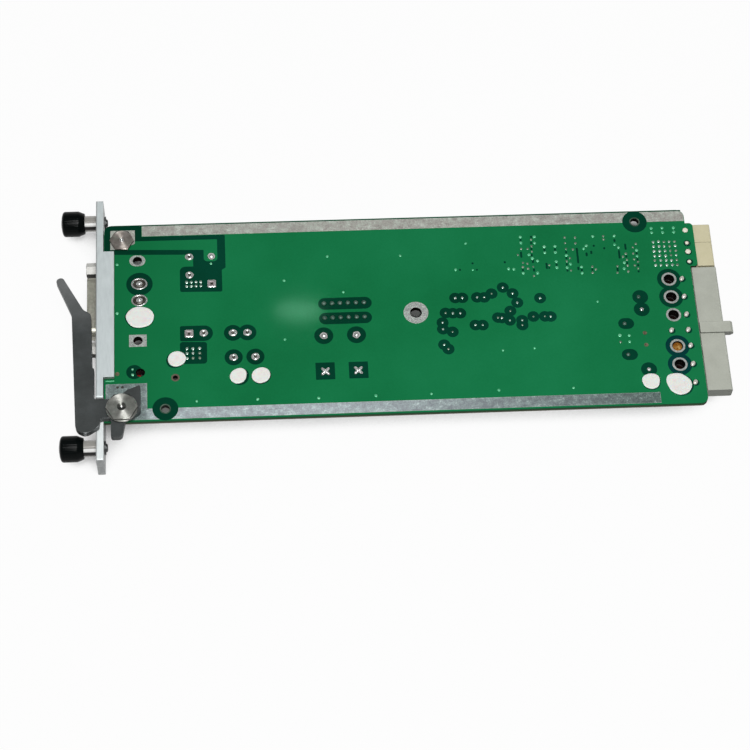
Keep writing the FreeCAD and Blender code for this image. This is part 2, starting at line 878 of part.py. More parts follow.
def make_ejector_lever():
    """One plate: finger arm in front of the panel, neck over it, pivot plate, and the claw's lobe and toe."""
    arm_right = panel_front - arm_panel_gap
    arm_left = arm_right - arm_width
    slant = Vector(tip_x - (arm_left + arm_right) / 2, tip_y - arm_top_y, 0)
    slant.normalize()
    across = Vector(slant.y, -slant.x, 0)
    tip = Vector(tip_x, tip_y, 0)
    tip_left = tip - across * (tip_width / 2)
    tip_right = tip + across * (tip_width / 2)
    plate_right = pivot_x + plate_reach
    plate_low = pivot_y - plate_bottom
    toe_bottom = pivot_y - toe_depth
    toe_left_x = pivot_x - toe_left
    toe_right_x = pivot_x + toe_right
    lobe_right = toe_left_x - claw_gap
    lobe_bottom = pivot_y - lobe_depth
    shoulder_x = arm_right - arm_width / 2
    arm_low_right = panel_front - arm_low_gap
    arm_step = arm_panel_gap - arm_low_gap
    corners = [
        (tip_left.x, tip_left.y, tip_radius),
        (arm_left - arm_bend_lean, arm_top_y, arm_bend_radius),
        (arm_left + lobe_heel_inset, lobe_bottom + lobe_heel_rise, lobe_heel_radius),
        (arm_left + lobe_foot_x, lobe_bottom - lobe_foot_drop, lobe_foot_radius),
        (lobe_right - lobe_tip_inset, lobe_bottom + lobe_tip_rise, lever_corner_radius),
        (lobe_right, neck_bottom, claw_corner_radius),
        (toe_left_x, neck_bottom, claw_corner_radius),
        (toe_left_x, toe_bottom, claw_corner_radius),
        (toe_right_x - toe_flare / 2, toe_bottom, toe_heel_radius),
        (toe_right_x + toe_flare / 2, plate_low - toe_heel_drop, claw_corner_radius),
        (plate_right, plate_low, plate_low_radius),
        (plate_right, pivot_y + plate_top, plate_high_radius),
        (pivot_x + plate_slope_start, pivot_y + plate_top - plate_slope_drop, lever_corner_radius),
        (pivot_x - plate_slope_start, neck_top, lever_corner_radius),
        (arm_low_right, neck_top, lever_corner_radius),
        (arm_low_right, arm_step_y, arm_step_radius),
        (arm_right, arm_step_y + arm_step, arm_step_radius),
        (arm_right - arm_taper, arm_top_y, shoulder_inner_radius),
        (shoulder_x, arm_top_y + shoulder_rise, shoulder_radius),
        (tip_right.x, tip_right.y, tip_radius),
    ]
    plate = flat_prism(corners, lever_lift, lever_top)
    return plate.cut(upright(pivot_radius + pivot_clearance, pivot_x, pivot_y, lever_lift - 1, lever_top + 1))


def make_sleeve(y):
    """The polished sleeve pressed into the panel: spring room outside, guide hole inside."""
    floor_x = panel_front - sleeve_floor
    guide = thumb_shank_radius + thumb_shank_clearance
    room = sleeve_radius - sleeve_wall
    profile = [
        (sleeve_end_x, room),
        (sleeve_end_x, sleeve_radius),
        (panel_front, sleeve_radius),
        (panel_front, sleeve_spigot_radius),
        (panel_back, sleeve_spigot_radius),
        (panel_back, guide),
        (floor_x, guide),
        (floor_x, room),
    ]
    return turned(profile, Vector(0, y, thumb_z), BACK)


def make_knob(y):
    """The black cap: rounded end, straight grip, taper towards the panel, and a cavity over the sleeve."""
    cavity = sleeve_radius + knob_sleeve_gap
    floor_x = knob_end_x + knob_end_wall
    profile = [
        (knob_end_x, thumb_shank_radius),
        (knob_end_x, knob_radius, knob_end_rounding),
        (knob_mouth_x - knob_taper_length, knob_radius),
        (knob_mouth_x, knob_mouth_radius),
        (knob_mouth_x, cavity),
        (floor_x, cavity),
        (floor_x, thumb_shank_radius),
    ]
    return turned(profile, Vector(0, y, thumb_z), BACK)


def ring_start():
    return panel_back + ring_play


def make_thumb_screw(y):
    """The steel screw: head end in the knob, groove for the ring, chamfered tip."""
    groove = thumb_shank_radius - ring_groove_depth
    groove_start = ring_start() - ring_play
    groove_end = ring_start() + ring_thickness + ring_play
    tip = panel_back + thumb_tip_reach
    profile = [
        (knob_end_x, 0),
        (knob_end_x, thumb_shank_radius),
        (groove_start, thumb_shank_radius),
        (groove_start, groove),
        (groove_end, groove),
        (groove_end, thumb_shank_radius),
        (tip - ring_groove_depth, thumb_shank_radius),
        (tip, groove),
        (tip, 0),
    ]
    return turned(profile, Vector(0, y, thumb_z), BACK)


def make_retaining_ring(y):
    hole = thumb_shank_radius - ring_groove_depth + ring_play
    start = ring_start()
    ring = along_x(ring_radius, start, start + ring_thickness, y, thumb_z)
    return ring.cut(along_x(hole, start - 1, start + ring_thickness + 1, y, thumb_z))


def make_spring(y):
    """The return spring between the sleeve's floor and the knob's."""
    start = panel_front - sleeve_floor - spring_wire / 2
    end = knob_end_x + knob_end_wall + spring_wire / 2
    length = start - end
    coil_radius = (sleeve_radius - sleeve_wall + thumb_shank_radius) / 2
    helix = Part.makeHelix(length / spring_turns, length, coil_radius)
    section = []
    for step in range(7):
        angle = math.radians(60 * step)
        section.append(
            Vector(coil_radius + spring_wire / 2 * math.cos(angle), 0, spring_wire / 2 * math.sin(angle))
        )
    wire = Part.makePolygon(section)
    coil = Part.Wire(helix).makePipeShell([wire], True, True)
    coil.Placement = FreeCAD.Placement(
        Vector(end, y, thumb_z), FreeCAD.Rotation(Vector(0, 0, 1), BACK)
    )
    return coil


def make_inlet_shell():
    """Flange behind the panel with the D-shaped collar that reaches through it."""
    z = inlet_z
    half_length = inlet_flange_length / 2
    half_height = inlet_flange_height / 2
    flange_corners = [
        (inlet_y - half_length, z + half_height, inlet_flange_radius),
        (inlet_y + half_length, z + half_height, inlet_flange_radius),
        (inlet_y + half_length, z - half_height, inlet_flange_radius),
        (inlet_y - half_length, z - half_height, inlet_flange_radius),
    ]
    flange = cross_prism(flange_corners, inlet_front, inlet_flange_back)
    outer = d_outline(
        inlet_shell_length,
        inlet_shell_height,
        inlet_shell_slant,
        inlet_shell_radius,
        inlet_y,
        z,
    )
    wall = inlet_shell_wall
    inner = d_outline(
        inlet_shell_length - 2 * wall,
        inlet_shell_height - 2 * wall,
        inlet_shell_slant,
        inlet_shell_radius - wall,
        inlet_y,
        z,
    )
    collar = cross_prism(outer, inlet_front - inlet_shell_depth, inlet_front)
    shell = fused([flange, collar])
    cuts = [cross_prism(inner, inlet_front - inlet_shell_depth - 1, inlet_flange_back + 1)]
    hole = jackscrew_stud_radius + screw_clearance
    cuts += [along_x(hole, inlet_front - 1, inlet_flange_back + 1, y, z) for y in inlet_screw_ys]
    return cut_all(shell, cuts)


def inlet_contact(y):
    """A turned power contact: pin in the collar, then a tail up to the board."""
    z = inlet_z
    pin_start = inlet_front - inlet_shell_depth + inlet_pin_setback
    neck_end = inlet_tail_x + inlet_neck_radius
    pin = along_x(inlet_contact_radius, pin_start, inlet_front, y, z)
    neck = along_x(inlet_neck_radius, inlet_front, neck_end, y, z)
    tail = upright(inlet_tail_radius, inlet_tail_x, y, z, board_under)
    return fused([pin, neck, tail])


def make_inlet_contacts():
    return group([inlet_contact(y) for y in inlet_contact_ys])


def make_inlet_insulator():
    """The moulded block that carries the contacts, with its face in the collar's mouth."""
    z = inlet_z
    wall = inlet_shell_wall
    face = d_outline(
        inlet_shell_length - 2 * wall,
        inlet_shell_height - 2 * wall,
        inlet_shell_slant,
        inlet_shell_radius - wall,
        inlet_y,
        z,
    )
    plug = cross_prism(face, inlet_front - inlet_flange_thickness, inlet_flange_back)
    half_width_here = inlet_body_width / 2
    half_height = inlet_body_height / 2
    body = box(
        inlet_flange_back,
        inlet_flange_back + inlet_body_length,
        inlet_y - half_width_here,
        inlet_y + half_width_here,
        z - half_height,
        z + half_height,
    )
    block = fused([plug, body])
    return cut_all(block, [inlet_contact(y) for y in inlet_contact_ys])


def make_inlet_brackets():
    """Angle brackets: an upright behind the flange, tapped for the jackscrew, and a foot on the board."""
    feet = []
    z = inlet_z
    low = z - inlet_flange_height / 2 + inlet_flange_radius
    upright_back = inlet_flange_back + inlet_upright_thickness
    for y in inlet_screw_ys:
        half = inlet_foot_width / 2
        corners = [
            (inlet_flange_back, board_under, 0),
            (inlet_foot_length, board_under, 0),
            (inlet_foot_length, board_under - inlet_foot_thickness, 0),
            (upright_back, board_under - inlet_foot_thickness, inlet_bend_radius),
            (upright_back, low, 0),
            (inlet_flange_back, low, 0),
        ]
        angle = side_prism(corners, y - half, y + half)
        stud_hole = jackscrew_stud_radius + thread_clearance
        stud = along_x(stud_hole, inlet_flange_back - 1, upright_back + 1, y, z)
        foot_low = board_under - inlet_foot_thickness
        foot_hole = upright(inlet_foot_hole_radius, inlet_foot_x, y, foot_low - 1, 1)
        feet.append(cut_all(angle, [stud, foot_hole]))
    return group(feet)


def make_jackscrews():
    """Hexagon posts in front of the panel, each with a tapped socket and a stud through to the bracket."""
    posts = []
    for y in inlet_screw_ys:
        base = Vector(panel_front, y, inlet_z)
        post = hexagon(jackscrew_flats, base, FORWARD, jackscrew_reach, spin=jackscrew_turn)
        stud_end = inlet_flange_back + inlet_upright_thickness
        stud = along_x(jackscrew_stud_radius, panel_front, stud_end, y, inlet_z)
        mouth = panel_front - jackscrew_reach
        socket = along_x(jackscrew_socket_radius, mouth - 1, mouth + jackscrew_socket_depth, y, inlet_z)
        posts.append(fused([post, stud]).cut(socket))
    return group(posts)


def make_lamp_holder():
    low = board_under - lamp_holder_height
    half = lamp_holder_width / 2
    end = lamp_holder_start + lamp_holder_length
    block = box(lamp_holder_start, end, lamp_y - half, lamp_y + half, low, board_under)
    bore = along_x(lamp_radius, lamp_holder_start - 1, lamp_window_x + lamp_window_radius, lamp_y, lamp_z)
    window = upright(lamp_window_radius, lamp_window_x, lamp_y, lamp_z, 1)
    return cut_all(block, [bore, window])


def make_indicator_lamp():
    """The red lamp: a rod with a domed front that shows in the panel."""
    nose = panel_front - lamp_proud
    body = along_x(lamp_radius, nose + lamp_radius, lamp_window_x, lamp_y, lamp_z)
    dome = Part.makeSphere(lamp_radius, Vector(nose + lamp_radius, lamp_y, lamp_z))
    return fused([body, dome])


def power_slot(y):
    half = power_slot_width / 2
    return box(
        power_back - power_slot_depth,
        power_back + 1,
        y - half,
        y + half,
        power_slot_z - power_slot_height / 2,
        power_slot_z + power_slot_height / 2,
    )


def make_power_housing():
    """The grey moulding: under the board in front, full height behind it, with slots and the guide key."""
    edge = board_length + power_edge_gap
    corners = [
        (power_front_x, board_under, 0),
        (edge, board_under, 0),
        (edge, power_crest, 0),
        (power_back, power_crest, power_chamfer),
        (power_back, power_floor, power_chamfer),
        (power_front_x, power_floor, 0),
    ]
    body = side_prism(corners, power_bottom_y, power_top_y)
    key_top = power_crest + key_rise
    key_end = power_back + key_reach
    key_low = power_crest - key_drop
    key_corners = [
        (edge, key_top, 0),
        (key_end - key_chamfer, key_top, 0),
        (key_end, key_top - key_chamfer, 0),
        (key_end, key_low + key_chamfer, 0),
        (key_end - key_chamfer, key_low, 0),
        (edge, key_low, 0),
    ]
    key = side_prism(key_corners, key_y - key_width / 2, key_y + key_width / 2)
    cuts = [power_slot(y) for y in power_ys]
    cuts += [power_contact(y, False) for y in power_ys]
    cuts += [power_bore(y, -power_short_post_drop) for y in power_ys]
    return cut_all(fused([body, key]), cuts)


def power_bore(y, low):
    """The round hole over a post, from its end up through the board."""
    return upright(power_hole_radius, power_contact_x, y, low, 1)


def power_contact(y, long_post):
    """A flat blade in its slot and the post it ends in; one post is long and shows in the board."""
    z = power_slot_z
    half = power_blade_thickness / 2
    blade = box(
        power_contact_x,
        power_back - power_blade_setback,
        y - half,
        y + half,
        z - power_blade_height / 2,
        z + power_blade_height / 2,
    )
    top = -power_long_post_drop if long_post else -power_short_post_drop
    post = upright(power_post_radius, power_contact_x, y, power_floor + power_post_foot, top)
    return fused([blade, post]).cut(power_bore(y, top))


def make_power_contacts():
    return group([power_contact(y, index == 3) for index, y in enumerate(power_ys)])


def signal_grid(low_y, high_y):
    """Places of the contact holes on one module's rear face."""
    columns = int((high_y - low_y - 2 * signal_margin) / signal_pitch) + 1
    middle_y = (low_y + high_y) / 2
    middle_z = (signal_crest + signal_floor) / 2
    ys = [middle_y + (step - (columns - 1) / 2) * signal_pitch for step in range(columns)]
    zs = [middle_z + (step - (signal_rows - 1) / 2) * signal_pitch for step in range(signal_rows)]
    return [(y, z) for y in ys for z in zs]


def make_signal_module(name):
    low_y, high_y = signal_modules[name]
    edge = board_length + tab_reach + signal_edge_gap
    corners = [
        (signal_front_x, board_under, 0),
        (edge, board_under, 0),
        (edge, signal_crest, 0),
        (signal_back, signal_crest, power_chamfer),
        (signal_back, signal_floor, power_chamfer),
        (signal_front_x, signal_floor, 0),
    ]
    body = side_prism(corners, low_y, high_y)
    pegs = [upright(peg_radius, peg_x, y, board_under - 1, tin_thickness) for y in peg_ys[name]]
    half = signal_hole / 2
    holes = [
        box(signal_back - signal_hole_depth, signal_back + 1, y - half, y + half, z - half, z + half)
        for y, z in signal_grid(low_y, high_y)
    ]
    return cut_all(fused([body] + pegs), holes)


def make_signal_contacts():
    """Square pins at the bottom of the modules' holes."""
    half = signal_pin_width / 2
    floor = signal_back - signal_hole_depth
    pins = []
    for low_y, high_y in signal_modules.values():
        for y, z in signal_grid(low_y, high_y):
            pins.append(box(floor, floor + signal_pin_bury, y - half, y + half, z - half, z + half))
    return group(pins)


def middle_of(pair):
    (x0, y0), (x1, y1) = pair
    return (x0 + x1) / 2, (y0 + y1) / 2


def make_smoothing_capacitors():
    """Round cans with a rolled groove near the board."""
    bead = can_bead_drop
    profile = [
        (0, 0),
        (0, can_radius),
        (bead, can_radius),
        (bead + can_bead_depth, can_radius - can_bead_depth),
        (bead + 2 * can_bead_depth, can_radius),
        (can_height - can_bead_depth, can_radius),
        (can_height, can_radius - can_bead_depth),
        (can_height, 0),
    ]
    cans = []
    for pair in can_leads:
        x, y = middle_of(pair)
        cans.append(turned(profile, Vector(x, y, board_under), Vector(0, 0, -1)))
    return group(cans)


def make_filter_capacitors():
    """Moulded box capacitors, each as long as its leads need."""
    boxes = []
    for pair in film_leads:
        x, y = middle_of(pair)
        (x0, y0), (x1, y1) = pair
        half_x = abs(x1 - x0) / 2 + film_overhang if x1 != x0 else film_thickness / 2
        half_y = abs(y1 - y0) / 2 + film_overhang if y1 != y0 else film_thickness / 2
        corners = [
            (x - half_x, y - half_y, film_rounding),
            (x + half_x, y - half_y, film_rounding),
            (x + half_x, y + half_y, film_rounding),
            (x - half_x, y + half_y, film_rounding),
        ]
        boxes.append(flat_prism(corners, board_under - film_height, board_under))
    return group(boxes)


def make_surge_discs():
    """Coated discs standing on their two leads."""
    discs = []
    for pair in disc_leads:
        x, y = middle_of(pair)
        z = board_under - disc_lift - disc_radius
        half = disc_thickness / 2
        profile = [
            (-half, 0),
            (-half, disc_radius - disc_edge),
            (disc_edge - half, disc_radius),
            (half - disc_edge, disc_radius),
            (half, disc_radius - disc_edge),
            (half, 0),
        ]
        disc = turned(profile, Vector(x, y, z), BACK)
        across_z = z + disc_lead_rise
        leads = []
        for lead_x, lead_y in pair:
            leads.append(upright(disc_lead_radius, lead_x, lead_y, across_z - disc_lead_radius, board_under))
            leads.append(rod(disc_lead_radius, Vector(x, lead_y, across_z), Vector(x, y, across_z)))
        discs.append(fused([disc] + leads))
    return group(discs)


def choke_middle_z():
    return board_under - choke_base_height - choke_winding_wall - choke_core_height / 2


def choke_winding_size():
    half_y = choke_centre_leg / 2 + choke_window - choke_winding_gap
    half_z = choke_core_height / 2 + choke_winding_wall
    half_x = choke_length / 2 - choke_yoke - choke_winding_gap
    return half_x, half_y, half_z


def make_choke_core():
    """Two E-shaped ferrite halves set leg to leg: yokes, outer legs and a centre leg."""
    half_x = choke_length / 2
    half_y = choke_centre_leg / 2 + choke_window + choke_leg
    z = choke_middle_z()
    low = z - choke_core_height / 2
    high = z + choke_core_height / 2
    core = box(choke_x - half_x, choke_x + half_x, choke_y - half_y, choke_y + half_y, low, high)
    windows = []
    for side in (-1, 1):
        near = side * choke_centre_leg / 2
        far = side * (choke_centre_leg / 2 + choke_window)
        y0, y1 = sorted((choke_y + near, choke_y + far))
        inner = half_x - choke_yoke
        windows.append(box(choke_x - inner, choke_x + inner, y0, y1, low - 1, high + 1))
    return cut_all(core, windows)


def make_choke_winding():
    """The wound coil round the centre leg."""
    half_x, half_y, half_z = choke_winding_size()
    z = choke_middle_z()
    corners = [
        (choke_y - half_y, z - half_z, choke_winding_radius),
        (choke_y + half_y, z - half_z, choke_winding_radius),
        (choke_y + half_y, z + half_z, choke_winding_radius),
        (choke_y - half_y, z + half_z, choke_winding_radius),
    ]
    coil = cross_prism(corners, choke_x - half_x, choke_x + half_x)
    hole_y = choke_centre_leg / 2
    hole_z = choke_core_height / 2
    hole = box(
        choke_x - half_x - 1,
        choke_x + half_x + 1,
        choke_y - hole_y,
        choke_y + hole_y,
        z - hole_z,
        z + hole_z,
    )
    return coil.cut(hole)


def make_choke_base():
    """The pin base between the choke and the board."""
    half_x = choke_pin_xs[-1] - choke_x + choke_base_margin
    half_y = choke_row_spacing / 2 + choke_base_margin
    low = board_under - choke_base_height
    return box(choke_x - half_x, choke_x + half_x, choke_y - half_y, choke_y + half_y, low, board_under)


def ring_core_z():
    high = board_under - ring_base_height - ring_winding_wall
    return high - ring_core_height, high


def make_ring_choke_base():
    half_x = ring_choke_pin_x / 2 + ring_base_margin
    half_y = ring_choke_pin_y / 2 + ring_base_margin
    corners = [
        (ring_choke_x - half_x, ring_choke_y - half_y, ring_base_radius),
        (ring_choke_x + half_x, ring_choke_y - half_y, ring_base_radius),
        (ring_choke_x + half_x, ring_choke_y + half_y, ring_base_radius),
        (ring_choke_x - half_x, ring_choke_y + half_y, ring_base_radius),
    ]
    return flat_prism(corners, board_under - ring_base_height, board_under)


def make_ring_choke_core():
    low, high = ring_core_z()
    ring = upright(ring_core_outer, ring_choke_x, ring_choke_y, low, high)
    return ring.cut(upright(ring_core_inner, ring_choke_x, ring_choke_y, low - 1, high + 1))


def make_ring_choke_windings():
    """Two windings, each round its own side of the ring."""
    low, high = ring_core_z()
    gap = ring_winding_gap
    wall = ring_winding_wall
    section = [
        Vector(ring_core_inner - wall, 0, low - wall),
        Vector(ring_core_outer + wall, 0, low - wall),
        Vector(ring_core_outer + wall, 0, high + wall),
        Vector(ring_core_inner - wall, 0, high + wall),
    ]
    core_room = [
        Vector(ring_core_inner - gap, 0, low),
        Vector(ring_core_outer + gap, 0, low),
        Vector(ring_core_outer + gap, 0, high),
        Vector(ring_core_inner - gap, 0, high),
    ]
    face = Part.Face([Part.makePolygon(section + section[:1]), Part.makePolygon(core_room + core_room[:1])])
    windings = []
    for start in (0, 180):
        turn = face.revolve(Vector(0, 0, 0), UP, ring_winding_angle)
        spin = FreeCAD.Rotation(UP, start - ring_winding_angle / 2)
        turn.Placement = FreeCAD.Placement(Vector(ring_choke_x, ring_choke_y, 0), spin)
        windings.append(turn)
    return group(windings)


def make_power_transistors():
    """Moulded bodies with a metal tab and two bent leads."""
    parts = []
    for x, y in transistor_places:
        half = transistor_width / 2
        low = board_under - transistor_height
        body = box(x - transistor_length / 2, x + transistor_length / 2, y - half, y + half, low, board_under)
        tab_start = x + transistor_length / 2
        tab_low = board_under - transistor_tab_height
        tab = box(tab_start, tab_start + transistor_tab, y - half, y + half, tab_low, board_under)
        leads = []
        for side in (-1, 1):
            lead_y = y + side * transistor_lead_pitch / 2
            end = x - transistor_length / 2
            lead_half = transistor_lead_width / 2
            leads.append(
                box(end - transistor_lead, end, lead_y - lead_half, lead_y + lead_half, tab_low, board_under)
            )
        parts.append(fused([body, tab] + leads))
    return group(parts)


def make_control_chips():
    """Flat moulded chips with rows of leads along two sides."""
    chips = []
    for (x, y), leads_per_side in zip(chip_places, chip_leads_per_side):
        half_x = leads_per_side * chip_lead_pitch / 2
        half_y = chip_width / 2
        pieces = [box(x - half_x, x + half_x, y - half_y, y + half_y, board_under - chip_height, board_under)]
        for step in range(leads_per_side):
            lead_x = x - half_x + (step + 0.5) * chip_lead_pitch
            lead_half = chip_lead_width / 2
            reach = half_y + chip_lead_reach
            low = board_under - chip_lead_height
            pieces.append(box(lead_x - lead_half, lead_x + lead_half, y - reach, y + reach, low, board_under))
        chips.append(fused(pieces))
    return group(chips)


def make_all():
    nodes = {
        "circuit_board": make_circuit_board(),
        "ground_strips": make_ground_strips(),
        "tinned_rings": make_tinned_rings(),
        "solder_joints": make_solder_joints(),
        "white_dabs": make_white_dabs(),
        "front_panel": make_front_panel(),
        "ejector_lever": make_ejector_lever(),
        "lever_pivot_screw": make_lever_pivot_screw(),
        "upper_hex_screw": make_upper_hex_screw(),
        "upper_bracket": make_upper_bracket(),
        "lower_bracket": make_lower_bracket(),
        "bracket_screws": make_bracket_screws(),
        "inlet_shell": make_inlet_shell(),
        "inlet_insulator": make_inlet_insulator(),
        "inlet_contacts": make_inlet_contacts(),
        "inlet_brackets": make_inlet_brackets(),
        "jackscrews": make_jackscrews(),
        "lamp_holder": make_lamp_holder(),
        "indicator_lamp": make_indicator_lamp(),
        "power_housing": make_power_housing(),
        "power_contacts": make_power_contacts(),
        "signal_contacts": make_signal_contacts(),
        "smoothing_capacitors": make_smoothing_capacitors(),
        "filter_capacitors": make_filter_capacitors(),
        "surge_discs": make_surge_discs(),
        "choke_core": make_choke_core(),
        "choke_winding": make_choke_winding(),
        "choke_base": make_choke_base(),
        "ring_choke_base": make_ring_choke_base(),
        "ring_choke_core": make_ring_choke_core(),
        "ring_choke_windings": make_ring_choke_windings(),
        "power_transistors": make_power_transistors(),
        "control_chips": make_control_chips(),
    }
    for name in signal_modules:
        nodes["signal_module_" + name] = make_signal_module(name)
    for name, y in (("upper", upper_thumb_y), ("lower", lower_thumb_y)):
        nodes[name + "_sleeve"] = make_sleeve(y)
        nodes[name + "_knob"] = make_knob(y)
        nodes[name + "_thumb_screw"] = make_thumb_screw(y)
        nodes[name + "_retaining_ring"] = make_retaining_ring(y)
        nodes[name + "_spring"] = make_spring(y)
    return nodes


def origin_shift(nodes):
    """What brings the middle of the bottom of the whole assembly to the origin."""
    whole = FreeCAD.BoundBox()
    for shape in nodes.values():
        whole.add(shape.optimalBoundingBox(False))
    middle = whole.Center
    return Vector(-middle.x, -middle.y, -whole.ZMin)


parts = make_all()
shift = origin_shift(parts)
os.makedirs("parts", exist_ok=True)
for node, shape in parts.items():
    shape.translate(shift)
    shape.exportStep("parts/" + node + ".step")
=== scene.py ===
"""Looks of the power transfer board: board artwork, solder, finishes, studio light and camera."""

import random
from math import cos, pi, radians, sin, tan

import bmesh
import bpy
from mathutils import Matrix, Vector
from mathutils.geometry import delaunay_2d_cdt


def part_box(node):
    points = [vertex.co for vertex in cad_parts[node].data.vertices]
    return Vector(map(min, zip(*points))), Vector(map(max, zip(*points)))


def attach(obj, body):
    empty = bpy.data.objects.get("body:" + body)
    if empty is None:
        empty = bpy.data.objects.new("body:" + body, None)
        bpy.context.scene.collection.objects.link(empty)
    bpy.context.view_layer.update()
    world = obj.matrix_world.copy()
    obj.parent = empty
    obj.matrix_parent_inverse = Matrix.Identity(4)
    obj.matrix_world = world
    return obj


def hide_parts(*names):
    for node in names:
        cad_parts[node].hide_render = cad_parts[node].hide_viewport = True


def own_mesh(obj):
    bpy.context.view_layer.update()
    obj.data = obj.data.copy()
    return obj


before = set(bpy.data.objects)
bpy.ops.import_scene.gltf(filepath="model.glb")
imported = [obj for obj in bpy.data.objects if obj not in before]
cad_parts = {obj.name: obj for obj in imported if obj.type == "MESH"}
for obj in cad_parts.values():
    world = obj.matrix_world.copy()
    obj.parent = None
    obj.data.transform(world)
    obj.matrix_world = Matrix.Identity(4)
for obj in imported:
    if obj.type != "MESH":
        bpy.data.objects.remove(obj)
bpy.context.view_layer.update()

# Millimetres in the board's frame: X back from the front edge, Y from mid-width, Z up from the solder face
MM = 0.001
board_low, board_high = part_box("circuit_board")
front_edge = board_low.x
mid_width = (board_low.y + board_high.y) / 2
solder_face = board_high.z
root_body = "board_module"
draw = random.Random(5)


def spot(x, y, z=0.0):
    """A place in the shared frame, in metres, from millimetres in the board's frame."""
    return Vector((front_edge + x * MM, mid_width + y * MM, solder_face + z * MM))


def linear(code):
    """A linear colour from the hexadecimal code of a display colour."""
    shares = [value / 255 for value in bytes.fromhex(code)]
    return tuple(
        share / 12.92 if share <= 0.04045 else ((share + 0.055) / 1.055) ** 2.4 for share in shares
    )


def show(name, data):
    """A new object in the scene."""
    thing = bpy.data.objects.new(name, data)
    bpy.context.scene.collection.objects.link(thing)
    return thing


# Camera: the photograph's viewing angle
photo_width = 750
sensor_width = 36.0
focal_pixels = 2323.0
view_azimuth = radians(6.61)
view_elevation = radians(62.05)
view_roll = radians(4.0)
view_target = (96.4, -25.0, 0.0)
view_distance = 829.9
clip_range = (0.01, 50.0)


def make_camera():
    data = bpy.data.cameras.new("camera")
    data.sensor_fit = "HORIZONTAL"
    data.sensor_width = sensor_width
    data.lens = focal_pixels * sensor_width / photo_width
    data.clip_start, data.clip_end = clip_range
    camera = show("camera", data)
    swing = Matrix.Rotation(-view_azimuth, 4, "Z") @ Matrix.Rotation(pi / 2 - view_elevation, 4, "X")
    place = spot(*view_target) + swing.col[2].xyz * view_distance * MM
    camera.matrix_world = Matrix.Translation(place) @ swing @ Matrix.Rotation(view_roll, 4, "Z")
    bpy.context.scene.camera = camera


# Shader nodes
noise_span = (0.3, 0.7)
grain_span = (0.25, 0.75)


